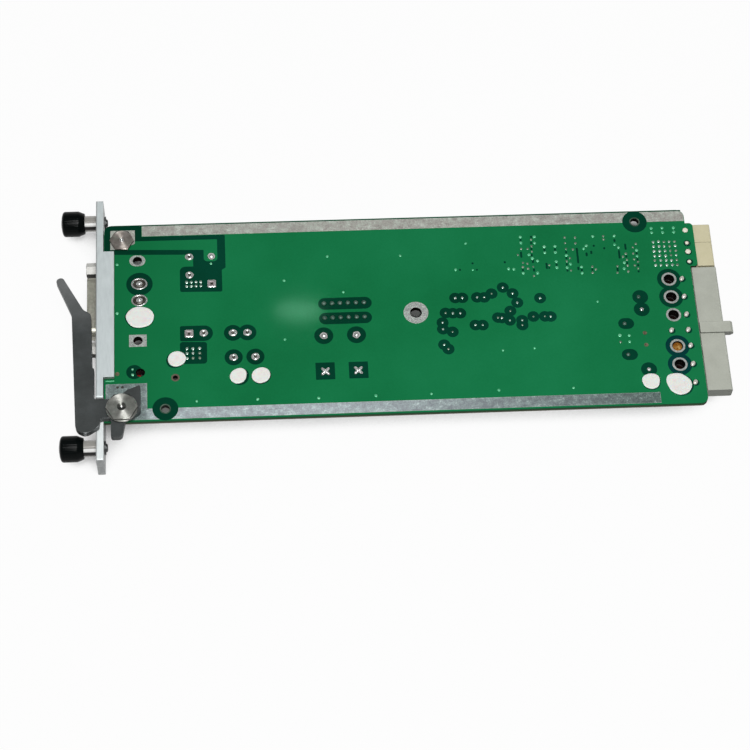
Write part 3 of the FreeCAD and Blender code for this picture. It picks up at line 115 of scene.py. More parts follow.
class Tree:
    """Makes nodes in a node tree; sizes and places are millimetres in the board's frame."""

    def __init__(self, node_tree):
        self.nodes = node_tree.nodes
        self.links = node_tree.links

    def put(self, value, target):
        """Links an output to a socket, or sets the socket to a number, vector, colour or colour code."""
        if isinstance(value, bpy.types.NodeSocket):
            self.links.new(value, target)
        elif isinstance(value, str):
            target.default_value = (*linear(value), 1)
        elif isinstance(value, tuple) and len(value) < len(target.default_value):
            target.default_value = (*value, 1)
        else:
            target.default_value = value

    def add(self, kind, inputs=(), out=0, **settings):
        """An output of a new node with these settings, and with inputs by name or number."""
        node = self.nodes.new("ShaderNode" + kind)
        for name, value in settings.items():
            setattr(node, name, value)
        for name, value in dict(inputs).items():
            self.put(value, node.inputs[name])
        return node.outputs[out]

    def compute(self, operation, *values):
        return self.add("Math", enumerate(values), operation=operation)

    def times(self, first, second):
        return self.compute("MULTIPLY", first, second)

    def most(self, first, second):
        return self.compute("MAXIMUM", first, second)

    def weigh(self, first, weight, second, other_weight=1.0):
        """The sum of two values, each times its weight."""
        return self.compute("MULTIPLY_ADD", first, weight, self.times(second, other_weight))

    def mix(self, share, first, second):
        """A mix of two colours."""
        return self.add("Mix", {0: share, 6: first, 7: second}, 2, data_type="RGBA")

    def ramp(self, share, stops):
        """A colour ramp through (position, linear colour) stops."""
        node = self.nodes.new("ShaderNodeValToRGB")
        elements = node.color_ramp.elements
        for position, _ in stops[1:-1]:
            elements.new(position)
        for element, (position, colour) in zip(elements, stops):
            element.position = position
            element.color = (*colour, 1)
        self.put(share, node.inputs["Fac"])
        return node.outputs["Color"]

    def drift(self, share, tones, stops=None):
        """A ramp of colour codes, spread evenly over a noise's usual span unless stops are given."""
        colours = [linear(code) for code in tones.split()]
        if stops is None:
            low, high = noise_span
            stops = [low + (high - low) * index / (len(colours) - 1) for index in range(len(colours))]
        return self.ramp(share, list(zip(stops, colours)))

    def levels(self, share, low, high, out_low=0.0, out_high=1.0):
        """share stretched from low..high to out_low..out_high, and held there."""
        limits = {"From Min": low, "From Max": high, "To Min": out_low, "To Max": out_high}
        return self.add("MapRange", {"Value": share, **limits}, "Result")

    def position(self, stretch=(1, 1, 1)):
        """The place on the part, in metres, fixed to it."""
        place = self.add("TexCoord", out="Object")
        return self.add("Mapping", {"Vector": place, "Scale": stretch})

    def noise(self, size, detail=3.0, rough=0.55, stretch=(1, 1, 1)):
        """Noise with blotches of about this size."""
        look = {"Scale": 1 / (size * MM), "Detail": detail, "Roughness": rough}
        return self.add("TexNoise", {"Vector": self.position(stretch), **look}, "Fac")

    def waves(self, size, direction):
        """Slightly wavy ridges across one axis, this far apart."""
        look = {"Scale": pi / (10 * size * MM), "Distortion": 0.4}
        return self.add("TexWave", {"Vector": self.position(), **look}, "Fac", bands_direction=direction)

    def part(self, vector, axis):
        return self.add("SeparateXYZ", {0: vector}, axis)

    def dot(self, first, second):
        return self.add("VectorMath", {0: first, 1: second}, "Value", operation="DOT_PRODUCT")

    def normal(self):
        return self.add("NewGeometry", out="Normal")

    def faces(self, axis, start, full, either_way=False):
        """0 to 1 as the surface's facing along an axis, from -1 to 1, goes from start to full."""
        share = self.part(self.normal(), axis)
        if either_way:
            share = self.compute("ABSOLUTE", share)
        return self.levels(share, start, full)

    def past(self, axis, start, end):
        """0 before start and 1 beyond end along X, Y or Z."""
        origin = {"X": front_edge, "Y": mid_width, "Z": solder_face}[axis]
        return self.levels(self.part(self.position(), axis), origin + start * MM, origin + end * MM)

    def within(self, *limits):
        """1 past every one of these (axis, start, end) limits."""
        share = 1.0
        for limit in limits:
            share = self.times(self.past(*limit), share)
        return share

    def near(self, place, reach, fade, full=1.0):
        """full within reach of a place in plan, then fading to 0."""
        ends = {0: self.position((1, 1, 0)), 1: (*spot(*place).xy, 0)}
        away = self.add("VectorMath", ends, "Value", operation="DISTANCE")
        return self.levels(self.compute("DIVIDE", away, MM), reach, reach + fade, full, 0.0)

    def soft_edges(self, radius):
        """The normal with edges rounded by this radius."""
        return self.add("Bevel", {"Radius": radius * MM}, "Normal", samples=4)

    def worn_edges(self, radius, share):
        """share along sharp edges, 0 away from them."""
        bend = self.dot(self.soft_edges(radius), self.normal())
        return self.times(self.levels(bend, 0.99, 0.86), share)

    def bump(self, height, depth, edge=None):
        """A normal from a height map of this depth, with edges rounded by a radius if it is given."""
        inputs = {"Strength": 1.0, "Distance": depth * MM, "Height": height}
        if edge:
            inputs["Normal"] = self.soft_edges(edge)
        return self.add("Bump", inputs, "Normal")


# Studio: floor, world and soft lamps
floor_half = 4.0
floor_white_share = 0.96
floor_colour = (0.55, 0.55, 0.55)
floor_shade_reach = 28.0
floor_shade_levels = (0.12, 0.42)
board_shade = [("X", 8.0, 14.0), ("X", 212.0, 206.0), ("Y", -33.0, -29.0), ("Y", 47.2, 43.0)]
world_levels = [(0.45, 0.14), (0.55, 0.16), (0.8, 0.2), (1.0, 0.22)]
backdrop_fade = (0.71, 0.6)
backdrop_colour = (1, 1, 1)
white_light = (1, 1, 1)
sheen_light = (0.42, 1.0, 0.7)
lamps = {
    "top_lamp": ((120, -160, 1000), (100, 0, 0), (0.4, 0.4), 6.6, white_light),
    "back_lamp": ((90, 430, 758), (70, 1.8, 0), (0.036, 0.012), 0.018, sheen_light),
    "front_lamp": ((60, -430, 720), (80, 0, 0), (0.06, 0.06), 1.2, white_light),
}


def background_rays(tree):
    """1 for camera rays and rays through clear pieces, and 1 for glossy rays."""
    path = tree.nodes.new("ShaderNodeLightPath").outputs
    return tree.most(path["Is Camera Ray"], path["Is Transmission Ray"]), path["Is Glossy Ray"]


def make_floor():
    """A grey floor that shows white but close to the part, and behind and under the board."""
    mesh = bpy.data.meshes.new("floor")
    corners = [(x * floor_half, y * floor_half, 0) for x, y in ((-1, -1), (1, -1), (1, 1), (-1, 1))]
    mesh.from_pydata(corners, [], [(0, 1, 2, 3)])
    floor = show("floor", mesh)
    material = bpy.data.materials.new("floor")
    material.use_nodes = True
    tree = Tree(material.node_tree)
    tree.nodes.remove(tree.nodes["Principled BSDF"])
    open_air = tree.add("AmbientOcclusion", {"Distance": floor_shade_reach * MM}, "AO", samples=8)
    open_air = tree.levels(open_air, *floor_shade_levels)
    lit = tree.compute("SUBTRACT", 1.0, tree.within(*board_shade))
    white_share = tree.times(tree.times(open_air, lit), floor_white_share)
    seen = tree.most(*background_rays(tree))
    paper = tree.add("BsdfDiffuse", {"Color": floor_colour})
    white = tree.add("Emission")
    mixed = tree.add("MixShader", {0: tree.times(seen, white_share), 1: paper, 2: white})
    tree.put(mixed, tree.nodes["Material Output"].inputs["Surface"])
    mesh.materials.append(material)


def make_world():
    """A soft grey room with a white backdrop.

    Camera and transmission rays see the backdrop all round, glossy rays only near and below the horizon.
    """
    world = bpy.data.worlds.new("studio")
    bpy.context.scene.world = world
    world.use_nodes = True
    tree = Tree(world.node_tree)
    height = tree.part(tree.add("TexCoord", out="Generated"), "Z")
    height = tree.compute("MULTIPLY_ADD", height, 0.5, 0.5)
    room = tree.ramp(height, [(at, (level, level, level)) for at, level in world_levels])
    straight, glossy = background_rays(tree)
    shown = tree.most(straight, tree.times(glossy, tree.levels(height, *backdrop_fade)))
    colour = tree.mix(shown, room, backdrop_colour)
    tree.put(colour, tree.nodes["Background"].inputs["Color"])


def make_lamp(name, place, aim, size, watts, colour):
    data = bpy.data.lights.new(name, "AREA")
    data.shape = "ELLIPSE"
    data.size, data.size_y = size
    data.energy = watts
    data.color = colour
    lamp = show(name, data)
    lamp.location = spot(*place)
    way = spot(*aim) - spot(*place)
    lamp.rotation_euler = way.to_track_quat("-Z", "Y").to_euler()


# Finishes
def finish(name, look, rough=None, depth=None, edge=None, span=noise_span, **constants):
    """A material of the colour, texture and other inputs that look(tree) gives.

    The texture is depth high, and sets the roughness between the two of rough; edge rounds the edges.
    """
    material = bpy.data.materials.new(name)
    material.use_nodes = True
    tree = Tree(material.node_tree)
    colour, texture, inputs = look(tree)
    inputs = {"Base Color": colour, **constants, **inputs}
    if rough:
        inputs["Roughness"] = tree.levels(texture, *span, *rough)
    if depth:
        inputs["Normal"] = tree.bump(texture, depth, edge)
    for key, value in inputs.items():
        tree.put(value, tree.nodes["Principled BSDF"].inputs[key.replace("_", " ")])
    return material


def unstained(tree, colour, share):
    """Leaves a finish's colour as it is."""
    return colour


# Solder mask
front_cut = ("X", 1.4, 1.2)
rear_cut = ("X", 214.0, 214.2)
upper_cut = ("Y", 40.0, 40.2)
lower_cut = ("Y", -40.0, -40.2)
plug_side = ("Y", 16.5, 16.0)


def board_cut(tree):
    """The laminate on cut edges: green over brown, and at the rear beside the housing dark red-brown, partly
    the laminate and partly painted shade of the gap; the hole walls are painted near black as shade.
    """
    share = tree.weigh(tree.noise(0.5, 4, stretch=(1, 1, 6)), 0.3, tree.past("Z", -1.8, -0.4), 0.7)
    outer = tree.drift(share, "70685c 40543c 225436", (0.15, 0.45, 0.75))
    # partly painted shade: the rear edge beside the housing is darkened red-brown
    outer = tree.mix(tree.within(rear_cut, plug_side), outer, "3a241c")
    ends = tree.most(tree.past(*rear_cut), tree.past(*front_cut))
    sides = tree.most(tree.past(*upper_cut), tree.past(*lower_cut))
    # painted shade: every cut face inside a hole is near black
    return tree.mix(tree.most(ends, sides), "0e0c0a", outer)


def mask_finish(name, tones, specular, cut=None):
    """Solder mask with a faint weave under it; cut(tree) gives the colour of cut edges."""
    low = tones.split()[0]

    def look(tree):
        share = tree.weigh(tree.noise(0.7, 2), 0.22, tree.noise(38), 0.8)
        face = tree.drift(share, tones, (0.3, 0.5, 0.72))
        # painted shade: the mask darkens towards the front edge
        face = tree.mix(tree.times(tree.past("X", 40, 4), 0.8), face, low)
        side = tree.faces("Z", 0.6, 0.4, either_way=True)
        colour = tree.mix(side, face, cut(tree) if cut else low)
        rough = tree.levels(tree.noise(5, 4), *noise_span, 0.058, 0.07)
        weave = tree.compute("ADD", tree.waves(0.9, "X"), tree.waves(0.9, "Y"))
        ripple = tree.weigh(weave, 0.25, tree.noise(1.6, 2))
        return colour, ripple, {"Roughness": tree.most(rough, tree.times(side, 0.8))}

    return finish(name, look, depth=0.0004, Specular_IOR_Level=specular)


mask = mask_finish("solder_mask", "0d6a3c 117343 177a4a", 0.14, board_cut)
bare_mask = mask_finish("bare_mask", "023422 033c2a 064432", 0.05)
blue_mask = mask_finish("bare_mask_bluish", "02302c 033634 063e3c", 0.05)

# Tin and solder
tin_stops = (0.36, 0.48, 0.58, 0.72)
brown_ring = (25.3, -23.5)
brown_ring_reach = 2.0


def tin_finish(name, tones, rough, depth, metallic=0.75, stain_or_shade=unstained):
    """Dull tinned copper with blotches, specks and dipped ripple."""

    def look(tree):
        speck = tree.noise(0.45, 3, 0.6)
        share = tree.weigh(speck, 0.45, tree.noise(2.4, 6, 0.65), 0.6)
        colour = stain_or_shade(tree, tree.drift(share, tones, tin_stops), share)
        ripple = tree.weigh(tree.noise(0.8, 2), 0.5, tree.noise(3.5))
        return colour, ripple, {"Roughness": tree.levels(speck, *noise_span, *rough)}

    return finish(name, look, depth=depth, Metallic=metallic)


def strip_stain(tree, upper, share):
    """A lighter rim, and the lower strip bluish and darker to the rear."""
    lower = tree.drift(share, "96a0a6 aab0b6 bac8ca e6f0f0", tin_stops)
    rear = tree.drift(share, "3e4e4d 52625e 687c76 b6c4c0", tin_stops)
    lower = tree.mix(tree.past("X", 80, 205), lower, rear)
    lower = tree.mix(tree.times(tree.past("X", 17, 14), 0.7), lower, rear)
    colour = tree.mix(tree.past("Y", -1, 1), lower, upper)
    return tree.mix(tree.worn_edges(0.3, 0.5), colour, "e2eee8")


def ring_stain(tree, colour, share):
    """One small ring is brown with flux."""
    return tree.mix(tree.near(brown_ring, brown_ring_reach, 0.1), colour, "7c7062")


strip_tones = "a0a29a bcb8b2 c8cec4 ecf0e8"
strip_tin = tin_finish("strip_tin", strip_tones, (0.34, 0.6), 0.05, stain_or_shade=strip_stain)
ring_tones = "aab2ae c4cac6 d2d6d2 eef0ec"
ring_tin = tin_finish("ring_tin", ring_tones, (0.25, 0.45), 0.03, stain_or_shade=ring_stain)
solder = tin_finish("solder", "b2b4b2 c6c8c6 d6d8d6 eceeec", (0.14, 0.3), 0.02)
# painted shade: near-black solder in the pits and grooves of joints and on the land's dimples
pit_shade_solder = tin_finish("painted_pit_shade", "2c2c28 42403a 58544e 82807a", (0.25, 0.45), 0.02)
flux_solder = tin_finish("flux_pink_solder", "807474 9c9092 b0a6a8 cec8c8", (0.3, 0.5), 0.02, 0.4)
pale_solder = tin_finish("pale_solder", "bab8ae ceccc2 dcdad2 f0efea", (0.25, 0.4), 0.02, 0.35)
via_green = tin_finish("masked_via", "42a878 62c896 80d8aa ace8ca", (0.3, 0.45), 0.01, 0.4)
via_bright = tin_finish("bright_via", "96baa8 bad6c8 cee2d6 ecf4ee", (0.2, 0.35), 0.01)
via_dull = tin_finish("dull_via", "5a8068 78927e 92a290 b4beb0", (0.3, 0.5), 0.01)
sunk_pin = tin_finish("sunk_pin", "344e44 4c685c 647e72 8ca094", (0.4, 0.6), 0.01)
brown_pad = tin_finish("brown_pad", "544232 68604c 7e7660 968c78", (0.35, 0.55), 0.02)
grey_ring = tin_finish("tooling_ring", "344a3e 425a4c 54685a 708072", (0.4, 0.6), 0.01)

# Metals
worn_metal = (0.9, 0.9, 0.9)
inlet_holes = [(12.1, 25.25), (12.1, -8.05)]
inlet_hole_reach = 2.4
# painted reflection: the sleeves' colour follows the way each face turns
sleeve_reflection_up = (0, 0.88, 0.47)
sleeve_reflection_tones = "b2b0ab 22201f 181717 f6f6f4 f6f6f4 686662 94928d acaaa5"
sleeve_reflection_stops = (0.04, 0.09, 0.26, 0.33, 0.47, 0.53, 0.6, 0.95)
pivot_place = (6.45, -36.6)
screw_place = (6.45, 33.8)
claw_glint_edge = [("Y", -45.4, -46.2), ("X", -3.5, -4.5)]
under_board = [("Z", -1.9, -2.1), ("X", 214.6, 214.4)]


def metal_finish(
    name, tones, rough, edge, depth, metallic=1.0, brush=(1, 1, 1), grain=0.5, stain_or_shade=unstained
):
    """Plated or machined metal with a fine directional grain and softened edges."""

    def look(tree):
        streak = tree.noise(grain, 4, 0.6, brush)
        share = tree.weigh(streak, 0.55, tree.noise(9), 0.45)
        colour = stain_or_shade(tree, tree.drift(share, tones), share)
        return tree.mix(tree.worn_edges(edge, 0.3), colour, worn_metal), streak, {}

    return finish(name, look, (rough - 0.06, rough + 0.1), depth, edge, grain_span, Metallic=metallic)


def panel_painted_light(tree, top, share):
    """Painted light and shade: whiter at the lower end, painted shade along the front rim, darker on the end
    and rear faces, and lighter again on the rear face's upper end.
    """
    # painted light: whiter towards the lower end
    top = tree.mix(tree.past("Y", -31, -41), top, tree.drift(share, "e6eded f6fafa"))
    # painted shade along the front rim
    top = tree.mix(tree.times(tree.past("X", -2.3, -2.6), 0.65), top, "707272")
    scuff = tree.noise(1.6, 5, 0.65)
    # painted shade on the end and rear faces, with painted light on the rear face's upper end
    dull = tree.drift(scuff, "888b8b b6b9b8")
    light = tree.drift(scuff, "b0b3b2 cccecd")
    dull = tree.mix(tree.past("Y", 36, 40), dull, light)
    return tree.mix(tree.most(tree.faces("X", 0.6, 0.9), tree.faces("Y", -0.6, -0.9)), top, dull)


def inlet_bracket_look(tree):
    """Zinc plate, painted dark under the two open holes in the board as shade."""
    streak = tree.noise(0.5, 4, 0.6)
    stain_or_shade = tree.drift(tree.noise(1.1, 2), "080506 40141a", (0.45, 0.62))
    bracket_hole_shade = tree.most(*(tree.near(hole, inlet_hole_reach, 0.2) for hole in inlet_holes))
    colour = tree.mix(bracket_hole_shade, tree.drift(streak, zinc_tones), stain_or_shade)
    return colour, streak, {"Metallic": tree.compute("SUBTRACT", 1.0, bracket_hole_shade)}


def sleeve_painted_reflection(tree):
    """Polished sleeves with a painted reflection: grey above, a white band along the middle, black below it.
    """
    streak = tree.noise(0.8, 4, 0.6, (14, 1, 1))
    turn = tree.levels(tree.dot(tree.normal(), sleeve_reflection_up), -1.0, 1.0)
    turn = tree.weigh(tree.compute("SUBTRACT", streak, 0.5), 0.03, turn)
    return tree.drift(turn, sleeve_reflection_tones, sleeve_reflection_stops), streak, {}


def jack_painted_light(tree):
    """Nickel plate with painted light and shade: bright on the flats that look up, dark on those that look
    down the panel.
    """
    cloud = tree.noise(0.9)
    bright = tree.drift(cloud, "ccccc7 deddd9")
    dark = tree.drift(cloud, "161614 42413c")
    return tree.mix(tree.faces("Z", 0.7, 0.85), dark, bright), cloud, {}


def turned_finish(name, tones, middle, dimple, spark):
    """Turned hexagon heads, with a dimple of painted shade and a painted glint of these radii in the middle.

    Rings on the face drag the highlight into a line; the flats and the chamfer's far side are painted dark
    as shade.
    """

    def look(tree):
        cloud = tree.noise(1.6, 5, 0.6)
        face = tree.drift(cloud, tones)
        # painted shade in the dimple, a painted glint in the middle, and painted shade on the flats and far
        # chamfer
        face = tree.mix(tree.near(middle, dimple - 0.15, 0.3, 0.8), face, "3c3e3a")
        face = tree.mix(tree.near(middle, spark, 0.2), face, "fcfcfa")
        far_side = tree.times(tree.faces("Z", 0.98, 0.94), tree.faces("Y", 0.05, 0.15))
        colour = tree.mix(tree.most(tree.faces("Z", 0.6, 0.4), far_side), face, "3e403e")
        rings = tree.add("Tangent", direction_type="RADIAL", axis="Z")
        rough = tree.levels(cloud, *noise_span, 0.3, 0.4)
        return colour, tree.noise(0.25), {"Tangent": rings, "Roughness": rough}

    return finish(name, look, depth=0.004, Metallic=0.85, Anisotropic=0.85, Anisotropic_Rotation=0.25)


def lever_look(tree):
    """Dark satin plating with small bright chips on the edges, lighter towards the tip as a painted
    reflection, and painted glints on the claw's lower edge.
    """
    grain = tree.noise(0.35)
    share = tree.weigh(grain, 0.3, tree.noise(6, 4), 0.7)
    dark = tree.drift(share, "323636 3c4040 484c4d")
    lit_tip = tree.drift(share, "626464 787a7a")
    # painted reflection: lighter towards the tip
    colour = tree.mix(tree.past("Y", -6, 14), dark, lit_tip)
    chip = tree.worn_edges(0.3, tree.levels(tree.noise(1.6, 4, 0.65), 0.56, 0.62))
    # painted glints along the claw's lower edge
    claw_glint = tree.times(tree.within(*claw_glint_edge), tree.levels(tree.noise(1.4, 2), 0.5, 0.55))
    return tree.mix(tree.most(chip, claw_glint), colour, "d6dcde"), grain, {}


def post_look(tree):
    """Brass posts under the board: orange where light reaches them, painted nearly black down in the holes
    as shade.
    """
    cloud = tree.noise(1.1, 4)
    brass = tree.drift(cloud, "b06822 ce8a38 face82")
    post_hole_shade = tree.drift(cloud, "100808 341410")
    return tree.mix(tree.within(*under_board), brass, post_hole_shade), cloud, {}


def copper_look(tree):
    """Enamelled copper wire."""
    cloud = tree.noise(1.5, 4)
    return tree.drift(cloud, "843e1e a8542c c67042"), cloud, {}


panel_metal = metal_finish(
    "panel_aluminium", "c5cecf d5ddde", 0.48, 0.25, 0.008, 0.35, (1, 0.15, 1), 0.6, panel_painted_light
)
zinc_tones = "969a9c babebe"
bracket_metal = metal_finish("bracket_zinc", zinc_tones, 0.4, 0.2, 0.01)
inlet_bracket_metal = finish(
    "inlet_bracket_zinc", inlet_bracket_look, (0.36, 0.5), 0.01, 0.2, grain_span, Specular_IOR_Level=0.05
)
steel = metal_finish("plated_steel", "aaacaa ced0ce", 0.24, 0.12, 0.006)
dark_steel = metal_finish("blackened_steel_and_recess_shade", "3a3c3c 5c5e5e", 0.42, 0.1, 0.006)
polish = {"Metallic": 0.1, "Roughness": 0.22, "Specular_IOR_Level": 0.25}
sleeve_metal = finish("polished_sleeve", sleeve_painted_reflection, depth=0.002, edge=0.15, **polish)
spring_metal = metal_finish("spring_wire", "787a7c aaacae", 0.28, 0.05, 0.004)
inlet_metal = metal_finish("inlet_plating", "a8a798 ceccc0", 0.4, 0.2, 0.012, grain=0.9)
nickel = {"Metallic": 0.15, "Roughness": 0.5, "Specular_IOR_Level": 0.25}
jack_metal = finish("jackscrew_nickel", jack_painted_light, depth=0.004, edge=0.1, **nickel)
pivot_steel = turned_finish("pivot_steel", "92938d a6a7a1 bcbdb8", pivot_place, 1.6, 0.35)
screw_steel = turned_finish("screw_steel", "928a83 a8a099 c0b9b3", screw_place, 0.0, 0.65)
lever_metal = finish("lever_plating", lever_look, (0.42, 0.55), 0.01, 0.3, Metallic=0.4)
contact_metal = metal_finish("brass_contacts", "c48c3e ecbe68", 0.25, 0.1, 0.006)
post_metal = finish("brass_posts", post_look, (0.22, 0.36), 0.03, 0.15, Metallic=0.85)
enamel = {"Metallic": 0.9, "Coat_Weight": 0.5, "Coat_Roughness": 0.12}
copper_wire = finish("enamelled_copper", copper_look, (0.24, 0.36), **enamel)

# Plastics, silicone, lacquers and ferrite
worn_plastic = (0.8, 0.8, 0.8)
power_bores = [("X", 203.9, 204.0), ("X", 214.6, 214.4), ("Y", -34.6, -34.4), ("Y", 15.2, 15.0)]
power_bores += [("Z", -5.4, -5.2)]


def plastic_finish(
    name, tones, rough, edge, depth, grain=0.5, specular=0.45, stain_or_shade=unstained, cover_or_shade=unstained
):
    """Moulded plastic with a fine texture, slight colour drift and softened edges.

    stain_or_shade changes the colour under the lighter edges, and cover_or_shade over them; for some parts
    they paint shade.
    """

    def look(tree):
        fine = tree.noise(grain)
        share = tree.weigh(fine, 0.35, tree.noise(7, 4), 0.65)
        colour = stain_or_shade(tree, tree.drift(share, tones), share)
        colour = tree.mix(tree.worn_edges(edge, 0.12), colour, worn_plastic)
        return cover_or_shade(tree, colour, share), fine, {}

    rough_span = (rough - 0.06, rough + 0.08)
    return finish(name, look, rough_span, depth, edge, grain_span, Specular_IOR_Level=specular)


def power_end_shade(tree, colour, share):
    """Painted shade: duller on the lower end."""
    return tree.mix(tree.faces("Y", -0.6, -0.9), colour, "84877f")


def power_bore_shade(tree, colour, share):
    """Painted shade: dark in the bores under the board's holes."""
    return tree.mix(tree.within(*power_bores), colour, "100b0a")


def film_potting(tree, colour, share):
    """Dark resin on the side towards the board."""
    return tree.mix(tree.faces("Z", 0.8, 0.9), colour, "302a26")


def silicone_look(tree):
    """White with a faint blush, and a rolled rim painted lighter as a highlight."""
    middle = tree.drift(tree.noise(1.8, 4), "e8e0dd e7e8e3 e4ece5", (0.35, 0.5, 0.66))
    return tree.mix(tree.faces("Z", 0.98, 0.85), middle, "f6fcf7"), tree.noise(1.1), {}


def lens_look(tree):
    return tree.drift(tree.noise(1.2, 2), "960e12 ce2224"), tree.noise(0.6, 2), {}


def can_look(tree):
    """Dark shrink sleeve on the sides, bare aluminium on the ends."""
    fine = tree.noise(0.5)
    sleeve = tree.drift(fine, "181c2c 262c40")
    bare = tree.drift(tree.noise(0.4, 3, 0.6, (1, 8, 1)), "b0b2b4 ced0d2")
    end = tree.faces("Z", 0.75, 0.85, either_way=True)
    return tree.mix(end, sleeve, bare), fine, {"Metallic": end}


knob_plastic = plastic_finish("black_knob", "060909 0a0e0e", 0.16, 0.15, 0.004, 0.3, 0.06)
power_plastic = plastic_finish(
    "grey_housing", "a8aba0 b8bbb0", 0.5, 0.3, 0.012, 0.6, 0.35, power_end_shade, power_bore_shade
)
signal_plastic = plastic_finish("cream_module", "c6bf9c d4cdac", 0.48, 0.25, 0.01)
peg_plastic = plastic_finish("peg_heads", "e2dcc8 f4f0e2", 0.22, 0.15, 0.004, 0.4, 0.6)
black_moulding = ("161718 28292a", 0.45, 0.2, 0.012, 0.4)
base_plastic = plastic_finish("black_base", *black_moulding)
inlet_plastic = plastic_finish("inlet_insulator", *black_moulding)
chip_plastic = plastic_finish("chip_mould", *black_moulding)
film_plastic = plastic_finish("film_case", "c49e2a d8b442", 0.42, 0.3, 0.014, 0.7, cover_or_shade=film_potting)
disc_finish = plastic_finish("disc_lacquer", "183e80 28549c", 0.3, 0.4, 0.03, 1.2)
ferrite = plastic_finish("ferrite", "2e2d2e 4a4848", 0.62, 0.3, 0.03, 0.3)
soft_white = {"Roughness": 0.5, "Subsurface_Weight": 0.1, "Subsurface_Scale": 0.0006}
silicone = finish("white_silicone", silicone_look, depth=0.03, **soft_white)
clear_red = {"Roughness": 0.16, "Transmission_Weight": 0.35, "IOR": 1.5}
lamp_lens = finish("lamp_lens", lens_look, depth=0.004, edge=0.15, **clear_red)
can_finish = finish("capacitor_can", can_look, depth=0.01, edge=0.3, Roughness=0.34)

# Finishes of the carried nodes
node_finishes = [
    (mask, "circuit_board"),
    (strip_tin, "ground_strips"),
    (ring_tin, "tinned_rings"),
    (panel_metal, "front_panel"),
    (bracket_metal, "upper_bracket", "lower_bracket"),
    (lever_metal, "ejector_lever"),
    (pivot_steel, "lever_pivot_screw"),
    (screw_steel, "upper_hex_screw"),
    (sleeve_metal, "upper_sleeve", "lower_sleeve"),
    (dark_steel, "upper_retaining_ring", "lower_retaining_ring", "upper_thumb_screw", "lower_thumb_screw"),
    (inlet_metal, "inlet_shell"),
    (inlet_plastic, "inlet_insulator"),
    (inlet_bracket_metal, "inlet_brackets"),
    (contact_metal, "inlet_contacts", "signal_contacts"),
    (jack_metal, "jackscrews"),
    (lamp_lens, "indicator_lamp"),
    (base_plastic, "lamp_holder", "choke_base", "ring_choke_base"),
    (power_plastic, "power_housing"),
    (post_metal, "power_contacts"),
    (signal_plastic, "signal_module_upper", "signal_module_lower"),
    (can_finish, "smoothing_capacitors"),
    (film_plastic, "filter_capacitors"),
    (disc_finish, "surge_discs"),
    (ferrite, "choke_core", "ring_choke_core"),
    (copper_wire, "choke_winding", "ring_choke_windings"),
    (chip_plastic, "power_transistors", "control_chips"),
]


def dress_nodes():
    for material, *names in node_finishes:
        for name in names:
            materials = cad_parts[name].data.materials
            materials.clear()
            materials.append(material)


# Mesh building blocks
plate_foot = -0.01
merge_distance = 1e-5


def place_piece(name, bm, materials, body=root_body):
    """Makes a piece of a finished bmesh that rides on a body."""
    bmesh.ops.recalc_face_normals(bm, faces=bm.faces[:])
    mesh = bpy.data.meshes.new(name)
    bm.to_mesh(mesh)
    bm.free()
    for material in materials:
        mesh.materials.append(material)
    piece = show(name, mesh)
    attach(piece, body)
    return piece


def circle(x, y, radius, steps=28):
    turn = 2 * pi / steps
    return [(x + radius * cos(turn * n), y + radius * sin(turn * n)) for n in range(steps)]


def circles(places, radius, steps=28, shift=(0.0, 0.0)):
    """A circle at each place, shifted."""
    across, up = shift
    return [circle(x + across, y + up, radius, steps) for x, y in places]


def obround(x0, x1, y, radius, steps=14):
    """A slot outline with its round ends at x0 and x1."""
    turns = [pi * (n / steps - 0.5) for n in range(steps + 1)]
    right = [(x1 - radius + radius * cos(a), y + radius * sin(a)) for a in turns]
    left = [(x0 + radius - radius * cos(a), y - radius * sin(a)) for a in turns]
    return right + left


def rounded(corners, steps=6):
    """An outline through (x, y, radius) corners, each rounded by its radius."""
    outline = []
    for index, (x, y, radius) in enumerate(corners):
        if radius == 0:
            outline.append((x, y))
            continue
        here = Vector((x, y))
        into = (Vector(corners[index - 1][:2]) - here).normalized()
        out = (Vector(corners[(index + 1) % len(corners)][:2]) - here).normalized()
        half = into.angle(out) / 2
        centre = here + (into + out).normalized() * radius / sin(half)
        first = here + into * radius / tan(half) - centre
        last = here + out * radius / tan(half) - centre
        sweep = first.angle_signed(last)
        for step in range(steps + 1):
            arm = first.copy()
            arm.rotate(Matrix.Rotation(-sweep * step / steps, 2))
            outline.append(tuple(centre + arm))
    return outline


def smooth_loop(places, steps=6):
    """A closed smooth curve through places."""
    outline = []
    count = len(places)
    for index in range(count):
        before, here, after, beyond = (Vector(places[(index + step) % count]) for step in (-1, 0, 1, 2))
        for step in range(steps):
            t = step / steps
            bend = (2 * before - 5 * here + 4 * after - beyond) * t**2
            twist = (3 * here - before - 3 * after + beyond) * t**3
            outline.append(tuple(here + ((after - before) * t + bend + twist) / 2))
    return outline


def rectangle(x0, x1, y0, y1, radius=0.0):
    return rounded([(x0, y0, radius), (x1, y0, radius), (x1, y1, radius), (x0, y1, radius)])


def inside(point, outline):
    """Whether a point lies in a closed outline."""
    x, y = point
    odd = False
    for (x0, y0), (x1, y1) in zip(outline, outline[1:] + outline[:1]):
        if (y0 > y) != (y1 > y) and x < x0 + (y - y0) * (x1 - x0) / (y1 - y0):
            odd = not odd
    return odd


